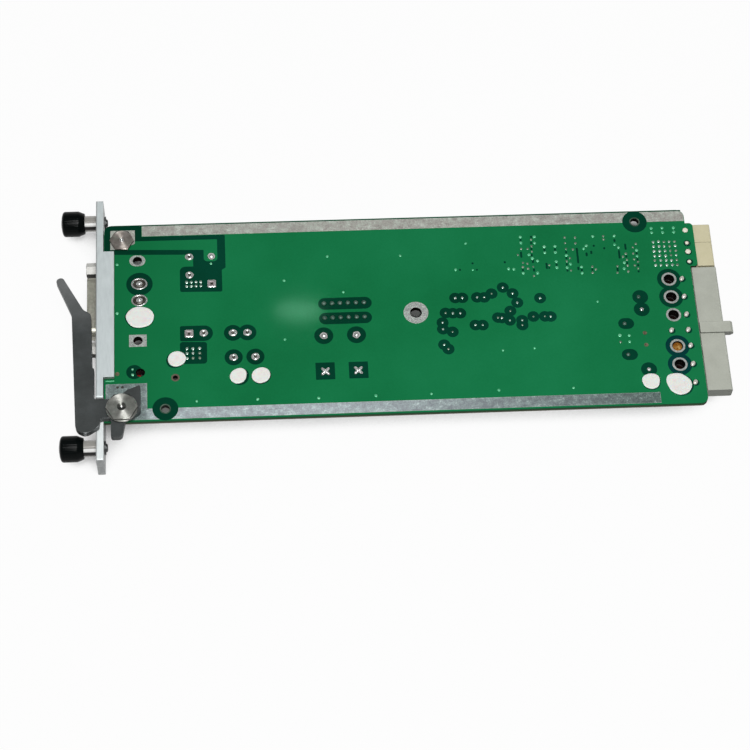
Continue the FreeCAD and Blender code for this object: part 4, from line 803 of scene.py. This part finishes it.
def plate(name, outlines, holes, top, material):
    """A thin flat layer on the solder face: the union of outlines, less round holes."""
    rims = [circle(*hole) for hole in holes]
    points = []
    faces = []
    for outline in outlines + rims:
        faces.append(list(range(len(points), len(points) + len(outline))))
        points += [Vector(point) for point in outline]
    corners, _, triangles, *_ = delaunay_2d_cdt(points, [], faces, 1, merge_distance, False)
    bm = bmesh.new()
    verts = [bm.verts.new(spot(corner.x, corner.y, plate_foot)) for corner in corners]
    for triangle in triangles:
        middle = sum((corners[index] for index in triangle), Vector((0, 0))) / 3
        if any(inside(middle, rim) for rim in rims):
            continue
        if any(inside(middle, outline) for outline in outlines):
            bm.faces.new([verts[index] for index in triangle])
    bmesh.ops.delete(bm, geom=[vert for vert in bm.verts if not vert.link_faces], context="VERTS")
    raised = bmesh.ops.extrude_face_region(bm, geom=bm.faces[:])["geom"]
    for vert in raised:
        if isinstance(vert, bmesh.types.BMVert):
            vert.co.z = solder_face + top * MM
    return place_piece(name, bm, [material])


def join_rings(bm, rings, bands=None, smooth=True):
    """Faces between rings of vertices and over both ends; a ring of one vertex is a point.

    bands gives the material of each stretch between two rings.
    """
    steps = max(len(ring) for ring in rings)
    for index, (low, high) in enumerate(zip(rings, rings[1:])):
        for step in range(steps):
            after = (step + 1) % steps
            corners = [low[step % len(low)], low[after % len(low)]]
            corners += [high[after % len(high)], high[step % len(high)]]
            face = bm.faces.new(list(dict.fromkeys(corners)))
            face.smooth = smooth
            if bands:
                face.material_index = bands[index]
    if len(rings[0]) > 1:
        bm.faces.new(list(reversed(rings[0])))
    if len(rings[-1]) > 1:
        bm.faces.new(rings[-1])


def add_turned(bm, placing, profile, steps, shape=None, bands=None, smooth=True):
    """Rings of (radius, height) millimetres round the local Z of placing.

    A radius of 0 closes to a point; shape(angle, radius, height) scales the radius.
    """
    rings = []
    for radius, height in profile:
        ring = []
        for step in range(steps if radius else 1):
            angle = 2 * pi * step / steps
            reach = radius * MM * (shape(angle, radius, height) if shape else 1.0)
            place = Vector((reach * cos(angle), reach * sin(angle), height * MM))
            ring.append(bm.verts.new(placing @ place))
        rings.append(ring)
    join_rings(bm, rings, bands, smooth)


def upright_at(x, y, turn=0.0):
    return Matrix.Translation(spot(x, y)) @ Matrix.Rotation(turn, 4, "Z")


def rows(xs, ys):
    """The places of a grid, column by column."""
    return [(x, y) for x in xs for y in ys]


# Places on the solder face, as (x, y) or (x, y, radius)
inlet_pins = [(12.7, 15.5), (12.7, 8.6)]
lamp_window = (12.9, -21.0, 1.65)
centre_hole = (112.6, 0.0, 2.15)
keepouts = [(196.3, 35.8), (21.6, -35.8)]
tooling_radius = 1.5
choke_pins = rows([79.45 + 2.9 * step for step in range(6)], (5.0, -1.0))
round_choke_pins = [(78.8, -8.35), (90.6, -8.35)]
cross_choke_pins = [(78.8, -22.85), (90.6, -22.85)]
power_ys = (10.8, 3.3, -4.2, -17.1, -24.6, -32.1)
power_holes = rows([206.4], power_ys[:5])
power_hole_radius = 2.0
power_tails = rows([211.1], power_ys)
peg_pins = [(204.9, -10.6), (211.0, -10.6)]
signal_pegs = rows([214.8], (31.5, 26.0, 22.3, 18.0))
signal_peg_sizes = (1.05, 0.75, 1.05, 0.75)
signal_hole_radius = 0.75
film_pins = [(46.2, -6.0), (51.4, -6.0), (46.2, -16.0), (54.0, -16.0)]
rear_pins = [(195.0, 3.7), (195.0, -1.5), (195.0, -26.3)]
rear_slots = [(188.7, -7.2), (188.7, -20.0)]
cluster_vias = [
    (127.3, 5.6), (129.9, 5.6), (135.3, 5.6), (137.9, 5.5), (140.7, 7.0), (145.0, 9.4), (148.4, 6.8),
    (149.8, 2.9), (147.0, -0.5), (146.5, -4.4), (143.7, -3.3), (142.3, -3.1), (151.0, -4.5), (150.9, -6.5),
    (155.2, -3.1), (159.4, -3.2), (161.5, -3.3), (158.3, 4.5), (133.9, -5.9), (136.5, -6.0), (123.4, -0.5),
    (126.0, -0.7), (128.7, -0.8), (122.0, -4.5), (122.0, -7.2), (125.4, -8.4), (122.0, -13.6),
    (123.4, -15.4),
]
round_holes = [lamp_window, centre_hole]
round_holes += [(x, y, tooling_radius) for x, y in keepouts]
round_holes += [(x, y, power_hole_radius) for x, y in power_holes]
round_holes += [(x, y, signal_hole_radius) for x, y in signal_pegs]

# Heights of the flat layers over the solder face
clear_top = 0.012
shadow_ring_top = 0.016
trace_top = 0.022
bare_spot_top = 0.03
land_dimple_top = 0.09

# Round clearances: places, radius, and for the smallest the steps and the shift
power_clearance = 4.4
round_clearances = [
    (keepouts, 4.6),
    (film_pins, 3.25),
    (round_choke_pins, 3.45),
    (rear_pins, 2.9),
    (cluster_vias, 2.2),
    (power_holes[:2], power_clearance),
    (power_tails + peg_pins, 1.3, 16, (0.2, -0.15)),
    (signal_pegs[1:], 1.35, 16, (0.1, -0.1)),
]
rear_slot_half = 2.9
rear_slot_radius = 2.25


def make_clearances():
    """Dark zones of mask with no copper under it."""
    corner = [(0.1, 28.2, 0), (0.1, 40.4, 2.3), (13.6, 40.4, 0), (13.6, 35.4, 0), (44.2, 35.4, 0)]
    corner += [(44.2, 21.4, 0), (42.8, 20.4, 0), (42.8, 11.3, 0.6), (27.5, 11.6, 0.6), (27.5, 22.2, 2.0)]
    corner += [(32.4, 22.2, 0), (32.4, 27.2, 0)]
    outlines = [
        rounded(corner),
        circle(12.8, 15.4, 4.8),
        circle(10.7, -20.7, 2.85),
        rounded([(27.2, -2.6, 0.6), (39.0, -2.6, 3.1), (39.0, -9.0, 3.1), (27.2, -8.8, 0.6)]),
        rounded([(27.1, -9.1, 1.0), (36.8, -9.4, 1.0), (36.7, -18.2, 1.2), (27.1, -18.1, 1.0)]),
        obround(77.3, 96.8, 4.8, 2.45),
        obround(77.4, 96.6, -1.3, 2.4),
        rectangle(75.3, 82.2, -26.2, -19.3, 0.2),
        rectangle(87.2, 94.1, -26.1, -19.4, 0.2),
        rectangle(13.6, 214.0, 40.02, 40.42),
    ]
    for x, y in rear_slots:
        outlines.append(obround(x - rear_slot_half, x + rear_slot_half, y, rear_slot_radius))
    for clearance in round_clearances:
        outlines += circles(*clearance)
    plate("mask_clearances", outlines, round_holes, clear_top, bare_mask)
    bluish = circles(power_holes[3:], power_clearance)
    plate("mask_clearances_rear", bluish, round_holes, clear_top, blue_mask)


def make_traces():
    """The broad trace from the upper screw's land, and the thin bar over the lever's land."""
    trace = [(6.0, 30.1, 0), (36.3, 29.1, 0), (36.3, 24.2, 1.4), (41.3, 24.2, 1.4), (41.3, 33.5, 0.3)]
    trace += [(10.8, 33.6, 0), (6.0, 31.2, 0)]
    plate("mask_traces", [rounded(trace)], [], trace_top, mask)
    plate("mask_bar", [rectangle(0.5, 3.6, -24.3, -23.9, 0.15)], [], trace_top, via_green)


# Vias: rows of (x, y) places, and marks of (x, y, length), on the solder face
lone_vias = [
    (4.7, 23.9), (4.7, 3.5), (32.7, -33.2), (65.3, 15.1), (64.8, -9.4), (81.5, 24.8), (86.7, 9.5),
    (108.3, 24.2), (132.8, 28.6), (54.3, -33.2), (75.9, -33.5), (96.3, -33.3), (116.1, -33.3),
    (140.3, -32.7), (167.1, -32.8), (179.2, 2.3), (143.0, -16.7), (154.5, -16.2), (38.9, 23.2),
    (10.1, -19.6), (10.1, -21.8), (128.3, 17.5), (134.6, 17.2),
]
field_bright = [
    (153.2, 30.7), (153.2, 28.1), (153.0, 15.2), (147.8, 17.2), (149.7, 17.0), (158.4, 30.6), (158.3, 27.9),
    (156.9, 21.4), (158.7, 20.2), (155.8, 22.9), (158.3, 15.1), (161.7, 26.2), (161.7, 23.6), (165.7, 26.3),
    (165.6, 23.6), (165.6, 19.7), (165.6, 17.2), (169.6, 22.2), (170.8, 18.5), (169.4, 17.0), (177.3, 26.1),
    (176.2, 24.9), (174.7, 17.1), (174.7, 14.5), (180.1, 30.0), (188.1, 30.0), (187.9, 26.2), (189.2, 24.9),
    (190.7, 18.4), (190.4, 15.9), (195.8, 23.5), (195.7, 21.0), (185.9, -12.0), (189.3, -12.2),
    (189.2, -14.8),
]
field_dull = [
    (153.1, 25.6), (151.7, 23.0), (153.3, 19.6), (153.1, 17.8), (157.1, 29.4), (157.0, 26.6), (155.5, 25.5),
    (157.0, 24.3), (154.9, 19.2), (156.9, 17.8), (155.0, 17.1), (156.9, 13.9), (162.9, 18.3), (169.6, 29.9),
    (169.6, 27.5), (169.7, 25.0), (170.8, 21.0), (169.5, 19.7), (170.7, 15.8), (173.5, 29.7), (173.4, 27.3),
    (172.2, 24.7), (178.7, 17.1), (179.9, 15.9), (178.6, 14.5), (184.0, 30.0), (184.0, 28.6), (188.0, 17.0),
    (187.7, 14.2), (191.7, 22.2), (190.5, 21.0), (191.8, 19.6), (191.8, 17.1), (191.8, 14.6), (195.8, 26.3),
    (194.5, 24.8), (194.4, 22.2), (194.5, 19.7), (195.8, 18.6), (194.5, 17.1), (195.6, 15.8),
    (185.9, -14.7),
]
field_marks = [
    (153.2, 29.4, 0.9), (157.2, 30.6, 0.9), (157.0, 28.0, 1.0), (156.9, 25.4, 1.0), (156.8, 22.8, 1.0),
    (157.0, 20.2, 1.6), (157.1, 16.4, 1.3), (161.7, 24.9, 1.0), (165.6, 24.9, 1.0), (161.9, 18.0, 2.6),
    (162.8, 17.1, 0.8), (165.6, 18.4, 1.0), (169.6, 23.6, 1.0), (169.5, 21.0, 1.0), (169.4, 18.4, 1.0),
    (169.4, 15.8, 1.0), (173.7, 22.0, 6.6), (173.5, 16.5, 1.4), (174.7, 15.8, 1.0), (178.6, 15.8, 1.0),
    (177.1, 22.4, 1.6), (178.9, 23.2, 1.4), (152.9, 23.1, 2.6), (153.0, 16.5, 1.0), (191.8, 25.2, 2.6),
    (189.2, 22.0, 3.6), (191.7, 21.0, 1.0), (191.7, 18.2, 1.0), (195.7, 22.2, 1.0), (195.7, 19.6, 1.0),
    (195.7, 17.1, 1.0), (195.6, 14.5, 0.9), (183.9, 24.8, 0.9), (188.0, 28.0, 1.2), (180.1, 26.0, 0.9),
    (187.9, 15.6, 1.6), (129.9, 17.4, 0.8), (134.7, 20.0, 0.8), (136.1, 17.2, 0.7), (146.6, 20.1, 0.9),
]
field_mark_half = 0.375
field_mark_rounding = 0.3
grid_vias = rows([202.2 + 2.04 * step for step in range(5)], [26.9 - 2.0 * step for step in range(6)])
pair_vias = rows((202.2, 206.3, 210.5), (32.8, 30.9))
eight_vias = rows((29.9, 31.6, 33.3, 35.0), (15.6, 13.9))
nine_vias = rows((29.6, 31.7, 34.1), (-11.9, -13.8, -15.8))
faint_in_cluster = {4, 8, 11, 13, 14, 15, 20, 25, 27}
faint_radius = 0.42
worn_in_nine = {5, 7, 8}
via_height = 0.1
via_profile = [(1.0, -0.1), (0.85, 0.55), (0.5, 0.9), (0, 1.0)]


def add_via(bm, x, y, radius):
    """A low dome of solder or mask over a plated hole, a little out of round."""
    lean = draw.uniform(0, pi)
    flat = draw.uniform(0.85, 1.0)
    placing = upright_at(x, y, lean) @ Matrix.Diagonal((1, flat, 1, 1))
    profile = [(radius * across, via_height * up) for across, up in via_profile]
    add_turned(bm, placing, profile, 12)


def add_vias(bm, places, low, high):
    """Vias of radii between low and high."""
    for x, y in places:
        add_via(bm, x, y, draw.uniform(low, high))


def make_vias():
    bright = bmesh.new()
    dull = bmesh.new()
    green = bmesh.new()
    add_vias(green, lone_vias, 0.45, 0.6)
    for index, (x, y) in enumerate(cluster_vias):
        if index in faint_in_cluster:
            add_via(dull, x, y, faint_radius)
        else:
            add_via(bright, x, y, draw.uniform(0.4, 0.5))
    add_vias(green, field_bright, 0.55, 0.68)
    add_vias(dull, field_dull, 0.42, 0.55)
    for x, y in grid_vias:
        chosen = draw.choice((bright, bright, dull))
        across = draw.uniform(-0.12, 0.12)
        up = draw.uniform(-0.1, 0.1)
        add_via(chosen, x + across, y + up, draw.uniform(0.5, 0.62))
    add_vias(green, pair_vias, 0.55, 0.68)
    add_vias(bright, eight_vias, 0.56, 0.64)
    for index, place in enumerate(nine_vias):
        add_vias(dull if index in worn_in_nine else bright, [place], 0.56, 0.66)
    place_piece("bright_vias", bright, [via_bright])
    place_piece("dull_vias", dull, [via_dull])
    place_piece("masked_vias", green, [via_green])
    bars = []
    for x, y, length in field_marks:
        sides = (x - field_mark_half, x + field_mark_half, y - length / 2, y + length / 2)
        bars.append(rectangle(*sides, field_mark_rounding))
    plate("field_marks", bars, [], clear_top, bare_mask)


# Solder joints: profiles of (radius, height) from the pad's rim to the middle, and each stretch's solder;
# solder 1 is painted shade in pits and grooves
pit_joint = [(1.5, -0.01), (1.45, 0.1), (1.2, 0.26), (0.85, 0.32), (0.58, 0.2), (0.45, 0.06), (0, 0.02)]
pit_bands = [0, 0, 0, 0, 1, 1]
ring_joint = [(2.95, -0.01), (2.9, 0.12), (2.65, 0.22), (2.35, 0.16), (2.1, 0.05), (1.5, 0.02), (1.15, 0.3)]
ring_joint += [(0.9, 0.6), (0.5, 0.78), (0, 0.84)]
ring_bands = [0, 0, 0, 1, 1, 1, 0, 0, 0]
dome_joint = [(1.5, -0.01), (1.38, 0.25), (1.05, 0.55), (0.6, 0.8), (0, 0.9)]
cross_joint = [(2.2, -0.01), (1.8, 0.22), (1.1, 0.5), (0.5, 0.75), (0, 0.85)]
square_joint = [(1.6, -0.01), (1.5, 0.14), (1.15, 0.24), (0.85, 0.2), (0.5, 0.12), (0, 0.1)]
square_bands = [0, 0, 2, 2, 1]
stud_joint = [(0.85, -0.01), (0.75, 0.2), (0.45, 0.42), (0, 0.5)]
tail_joint = [(0.82, -0.01), (0.78, 0.35), (0.6, 0.6), (0, 0.72)]
tail_bands = [3, 3, 3]
dot_joint = [(0.75, -0.01), (0.66, 0.18), (0.35, 0.34), (0, 0.4)]
joint_solders = [solder, pit_shade_solder, flux_solder, pale_solder]
inlet_joint_squash = Matrix.Diagonal((1, 0.83, 1, 1))
tail_lean = Matrix.Rotation(radians(-30), 4, "Z") @ Matrix.Diagonal((1, 1.4, 1, 1))
pit_pins = film_pins + [(35.7, -5.7), (31.0, 26.3), (31.0, 18.6)]
trace_pin = (39.1, 26.3)
square_pins = [(30.45, -5.8), (39.0, 14.7)]
dull_pin_shift = -0.6


def uneven(strength):
    """A slightly irregular round outline."""
    ripples = [(order, draw.uniform(0, 2 * pi), draw.uniform(0.3, 1.0)) for order in (2, 3, 5)]

    def shape(angle, *ring):
        return 1 + strength * sum(size * sin(order * angle + phase) for order, phase, size in ripples)

    return shape


def cross_shape(angle, *ring):
    return 0.72 + 0.28 * cos(4 * (angle - pi / 4))


def square_shape(angle, *ring):
    return min(1 / max(abs(cos(angle)), abs(sin(angle))), 1.34)


def add_joints(bm, places, profile, steps, strength=0.0, shape=None, bands=None, form=Matrix()):
    """A joint at each place: uneven by a strength, or of one shape."""
    for x, y in places:
        outline = uneven(strength) if strength else shape
        add_turned(bm, upright_at(x, y) @ form, profile, steps, outline, bands)


def make_solder_joints():
    bm = bmesh.new()
    add_joints(bm, inlet_pins, ring_joint, 40, 0.012, bands=ring_bands, form=inlet_joint_squash)
    add_joints(bm, pit_pins, pit_joint, 28, 0.03, bands=pit_bands)
    add_joints(bm, [trace_pin], dome_joint, 28, 0.03)
    add_joints(bm, round_choke_pins, dome_joint, 28, 0.05)
    add_joints(bm, cross_choke_pins, cross_joint, 40, shape=cross_shape)
    add_joints(bm, power_tails + peg_pins, tail_joint, 20, bands=tail_bands, form=tail_lean)
    add_joints(bm, rear_pins[1:], dot_joint, 20, 0.04)
    add_joints(bm, square_pins, square_joint, 40, shape=square_shape, bands=square_bands)
    joints = place_piece("solder_fillets", bm, joint_solders)
    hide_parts("solder_joints")
    dull = bmesh.new()
    add_joints(dull, choke_pins, stud_joint, 16, 0.06)
    dull_pins = [(x + dull_pin_shift, y) for x, y in rear_pins[:1] + rear_slots]
    add_joints(dull, dull_pins, dot_joint, 20, 0.05)
    place_piece("dull_pin_ends", dull, [sunk_pin])


# Rounded heads of the signal modules' pegs
peg_head = [(1.0, 0.02), (0.96, 0.22), (0.7, 0.42), (0.35, 0.5), (0, 0.52)]


def make_peg_heads():
    bm = bmesh.new()
    for place, size in zip(signal_pegs, signal_peg_sizes):
        add_turned(bm, upright_at(*place) @ Matrix.Diagonal((size, size, 1, 1)), peg_head, 20)
    place_piece("peg_heads", bm, [peg_plastic])


# White silicone dabs: places on each rim are given from the dab's middle
dab_middles = [(12.75, 1.6), (25.9, -16.0), (47.6, -23.7), (55.7, -23.7), (195.2, -31.2), (205.2, -32.7)]
dab_rims = [
    [(-5.0, 0.2), (-3.3, 3.2), (-0.3, 4.3), (3.5, 3.3), (5.2, 0.4), (3.9, -3.1), (0.2, -4.4), (-3.1, -3.5)],
    [(-3.2, -0.1), (-2.2, 2.2), (0.2, 3.1), (2.5, 2.1), (3.3, 0.1), (2.3, -2.1), (-0.1, -3.1), (-2.3, -2.4)],
    [(-3.0, -0.1), (-2.0, 2.0), (0.6, 3.2), (2.6, 2.3), (3.0, 0.2), (2.1, -2.1), (-0.1, -3.1), (-2.2, -2.2)],
    [(-3.3, 0.0), (-2.2, 2.2), (0.4, 3.2), (2.7, 2.2), (3.4, 0.1), (2.3, -2.2), (-0.3, -3.2), (-2.5, -2.2)],
    [(-3.2, 0.3), (-2.5, 2.2), (-0.1, 3.1), (2.4, 2.5), (3.2, 0.5), (2.4, -2.1), (0.1, -3.1), (-2.3, -2.1)],
    [(-4.5, 1.5), (-3.7, 3.7), (-1.3, 4.4), (1.0, 4.2), (3.0, 2.9), (4.4, 1.1), (4.4, -1.3), (2.7, -3.6)]
    + [(-0.3, -4.3), (-2.9, -2.9), (-4.0, -0.7)],
]
dab_profile = [(0.97, -0.01), (1.0, 0.12), (0.985, 0.3), (0.94, 0.42), (0.87, 0.46), (0.76, 0.44)]
dab_profile += [(0.4, 0.43)]
dab_peak = 0.44
# dark mask rings round the dabs, partly clearance and partly painted shadow, each shifted its own way
shadow_ring_shifts = [(-0.1, 0.0), (-0.45, -0.35), (0.7, -0.35), (0.1, -0.15), (0.1, -0.15), (0.4, -0.1)]
shadow_ring_growth = 1.05


def dab_outline(middle, rim, growth=1.0, shift=(0.0, 0.0)):
    """A dab's outline on the board, grown about its middle and shifted."""
    x, y = middle
    across, up = shift
    return [(x + across + growth * a, y + up + growth * b) for a, b in smooth_loop(rim)]


def make_dabs():
    bm = bmesh.new()
    for (x, y), rim in zip(dab_middles, dab_rims):
        outline = dab_outline((x, y), rim)
        rings = []
        for share, height in dab_profile:
            places = [(x + share * (a - x), y + share * (b - y)) for a, b in outline]
            rings.append([bm.verts.new(spot(a, b, height)) for a, b in places])
        rings.append([bm.verts.new(spot(x, y, dab_peak))])
        join_rings(bm, rings)
    piece = place_piece("silicone_dabs", bm, [silicone])
    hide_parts("white_dabs")
    # dark rings round the dabs: partly clearance, partly painted shadow
    shadow_ring_rows = zip(dab_middles, dab_rims, shadow_ring_shifts)
    shadow_rings = [dab_outline(middle, rim, shadow_ring_growth, shift) for middle, rim, shift in shadow_ring_rows]
    plate("dab_shadow_rings", shadow_rings, round_holes, shadow_ring_top, bare_mask)


# Rings round the tooling holes, and bare spots
tooling_ring_radius = 1.95
bare_spots = [(195.1, -11.3), (195.1, -16.2), (4.7, -21.3)]
bare_spot_radius = 0.78
land_dimples = [(4.8, -26.7), (6.5, -26.7)]
land_dimple_radius = 0.5


def make_bare_spots():
    rings = circles(keepouts, tooling_ring_radius)
    plate("tooling_rings", rings, round_holes, trace_top, grey_ring)
    plate("bare_spots", circles(bare_spots, bare_spot_radius, 16), [], bare_spot_top, brown_pad)
    # the land's dimples are discs of painted shade
    dimples = circles(land_dimples, land_dimple_radius, 14)
    plate("land_dimples", dimples, [], land_dimple_top, pit_shade_solder)


# Countersunk screws in the panel, each with a cross recess, turned about X
along_x = Matrix.Rotation(pi / 2, 4, "Y")
panel_front = -2.8
panel_screw_places = [(33.8, -6.4), (-30.3, -6.4)]
panel_screw_profile = [(0, 1.3), (0.6, 1.15), (1.7, 0), (2.75, 0), (2.8, 0.05), (1.5, 1.6), (1.5, 7.8)]
panel_screw_profile += [(1.3, 8.0), (0, 8.0)]
# the recess's faces take the blackened steel as painted shade
panel_screw_bands = [1, 1, 0, 0, 0, 0, 0, 0]
recess_reach = 1.8
recess_depth = 1.2
recess_waist = 0.4


def cross_recess(angle, radius, height):
    """Draws the rings of the recess in between its four arms."""
    if radius > recess_reach or height > recess_depth:
        return 1.0
    return recess_waist + (1 - recess_waist) * abs(cos(2 * angle)) ** 6


def make_panel_screws():
    bm = bmesh.new()
    for y, z in panel_screw_places:
        placing = Matrix.Translation(spot(panel_front, y, z)) @ along_x
        add_turned(bm, placing, panel_screw_profile, 48, cross_recess, panel_screw_bands, smooth=False)
    piece = place_piece("panel_screws", bm, [steel, dark_steel])
    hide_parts("bracket_screws")


# Thumbscrews: knurled knobs and coil springs, turned about X
thumb_z = -6.0
thumb_ys = {"upper": 45.4, "lower": -47.5}
knob_radius = 4.7
knob_profile = [(0, -16.1), (1.6, -16.06), (3.0, -15.88), (3.9, -15.6), (4.4, -15.3), (4.64, -14.95)]
knob_profile += [(knob_radius, -14.5), (knob_radius, -9.8), (4.62, -9.5), (4.2, -8.5), (3.85, -7.6)]
knob_profile += [(3.7, -7.42), (3.4, -7.4), (3.1, -7.5), (3.05, -7.7), (3.05, -13.8), (0, -13.8)]
knurl_count = 40
knurl_depth = 0.02
spring_wire = 0.2
spring_radius = 1.9
spring_start = -13.8
spring_end = -4.2
spring_turns = 6
spring_steps = 24
wire_steps = 8


def thumb_placing(side):
    return Matrix.Translation(spot(0, thumb_ys[side], thumb_z)) @ along_x


def knurl(angle, radius, height):
    """Fine straight ridges on the knob's round part."""
    if radius < knob_radius:
        return 1.0
    return 1 - knurl_depth * (0.5 + 0.5 * cos(knurl_count * angle))


def make_knob(side):
    """The knurled grip, with a hollow that slides over the sleeve."""
    bm = bmesh.new()
    add_turned(bm, thumb_placing(side), knob_profile, knurl_count * 4, knurl)
    piece = place_piece(side + "_knob_grip", bm, [knob_plastic], side + "_thumbscrew")
    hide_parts(side + "_knob")


def make_spring(side):
    """The coil spring inside the sleeve, on a mesh of its own; the real spring shortens as the screw is
    pushed.
    """
    placing = thumb_placing(side)
    bm = bmesh.new()
    rings = []
    count = spring_turns * spring_steps
    for step in range(count + 1):
        angle = 2 * pi * step / spring_steps
        travel = spring_start + spring_wire + (spring_end - spring_start - 2 * spring_wire) * step / count
        ring = []
        for turn in range(wire_steps):
            around = 2 * pi * turn / wire_steps
            reach = spring_radius + spring_wire * cos(around)
            height = travel + spring_wire * sin(around)
            local = Vector((reach * cos(angle), reach * sin(angle), height))
            ring.append(bm.verts.new(placing @ (local * MM)))
        rings.append(ring)
    join_rings(bm, rings)
    piece = place_piece(side + "_coil_spring", bm, [spring_metal])
    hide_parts(side + "_spring")
    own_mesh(piece)


bpy.context.scene.view_settings.view_transform = "Standard"
make_camera()
make_floor()
make_world()
for lamp_name, lamp in lamps.items():
    make_lamp(lamp_name, *lamp)
dress_nodes()
make_clearances()
make_traces()
make_vias()
make_solder_joints()
make_peg_heads()
make_dabs()
make_bare_spots()
make_panel_screws()
for thumb_side in thumb_ys:
    make_knob(thumb_side)
    make_spring(thumb_side)
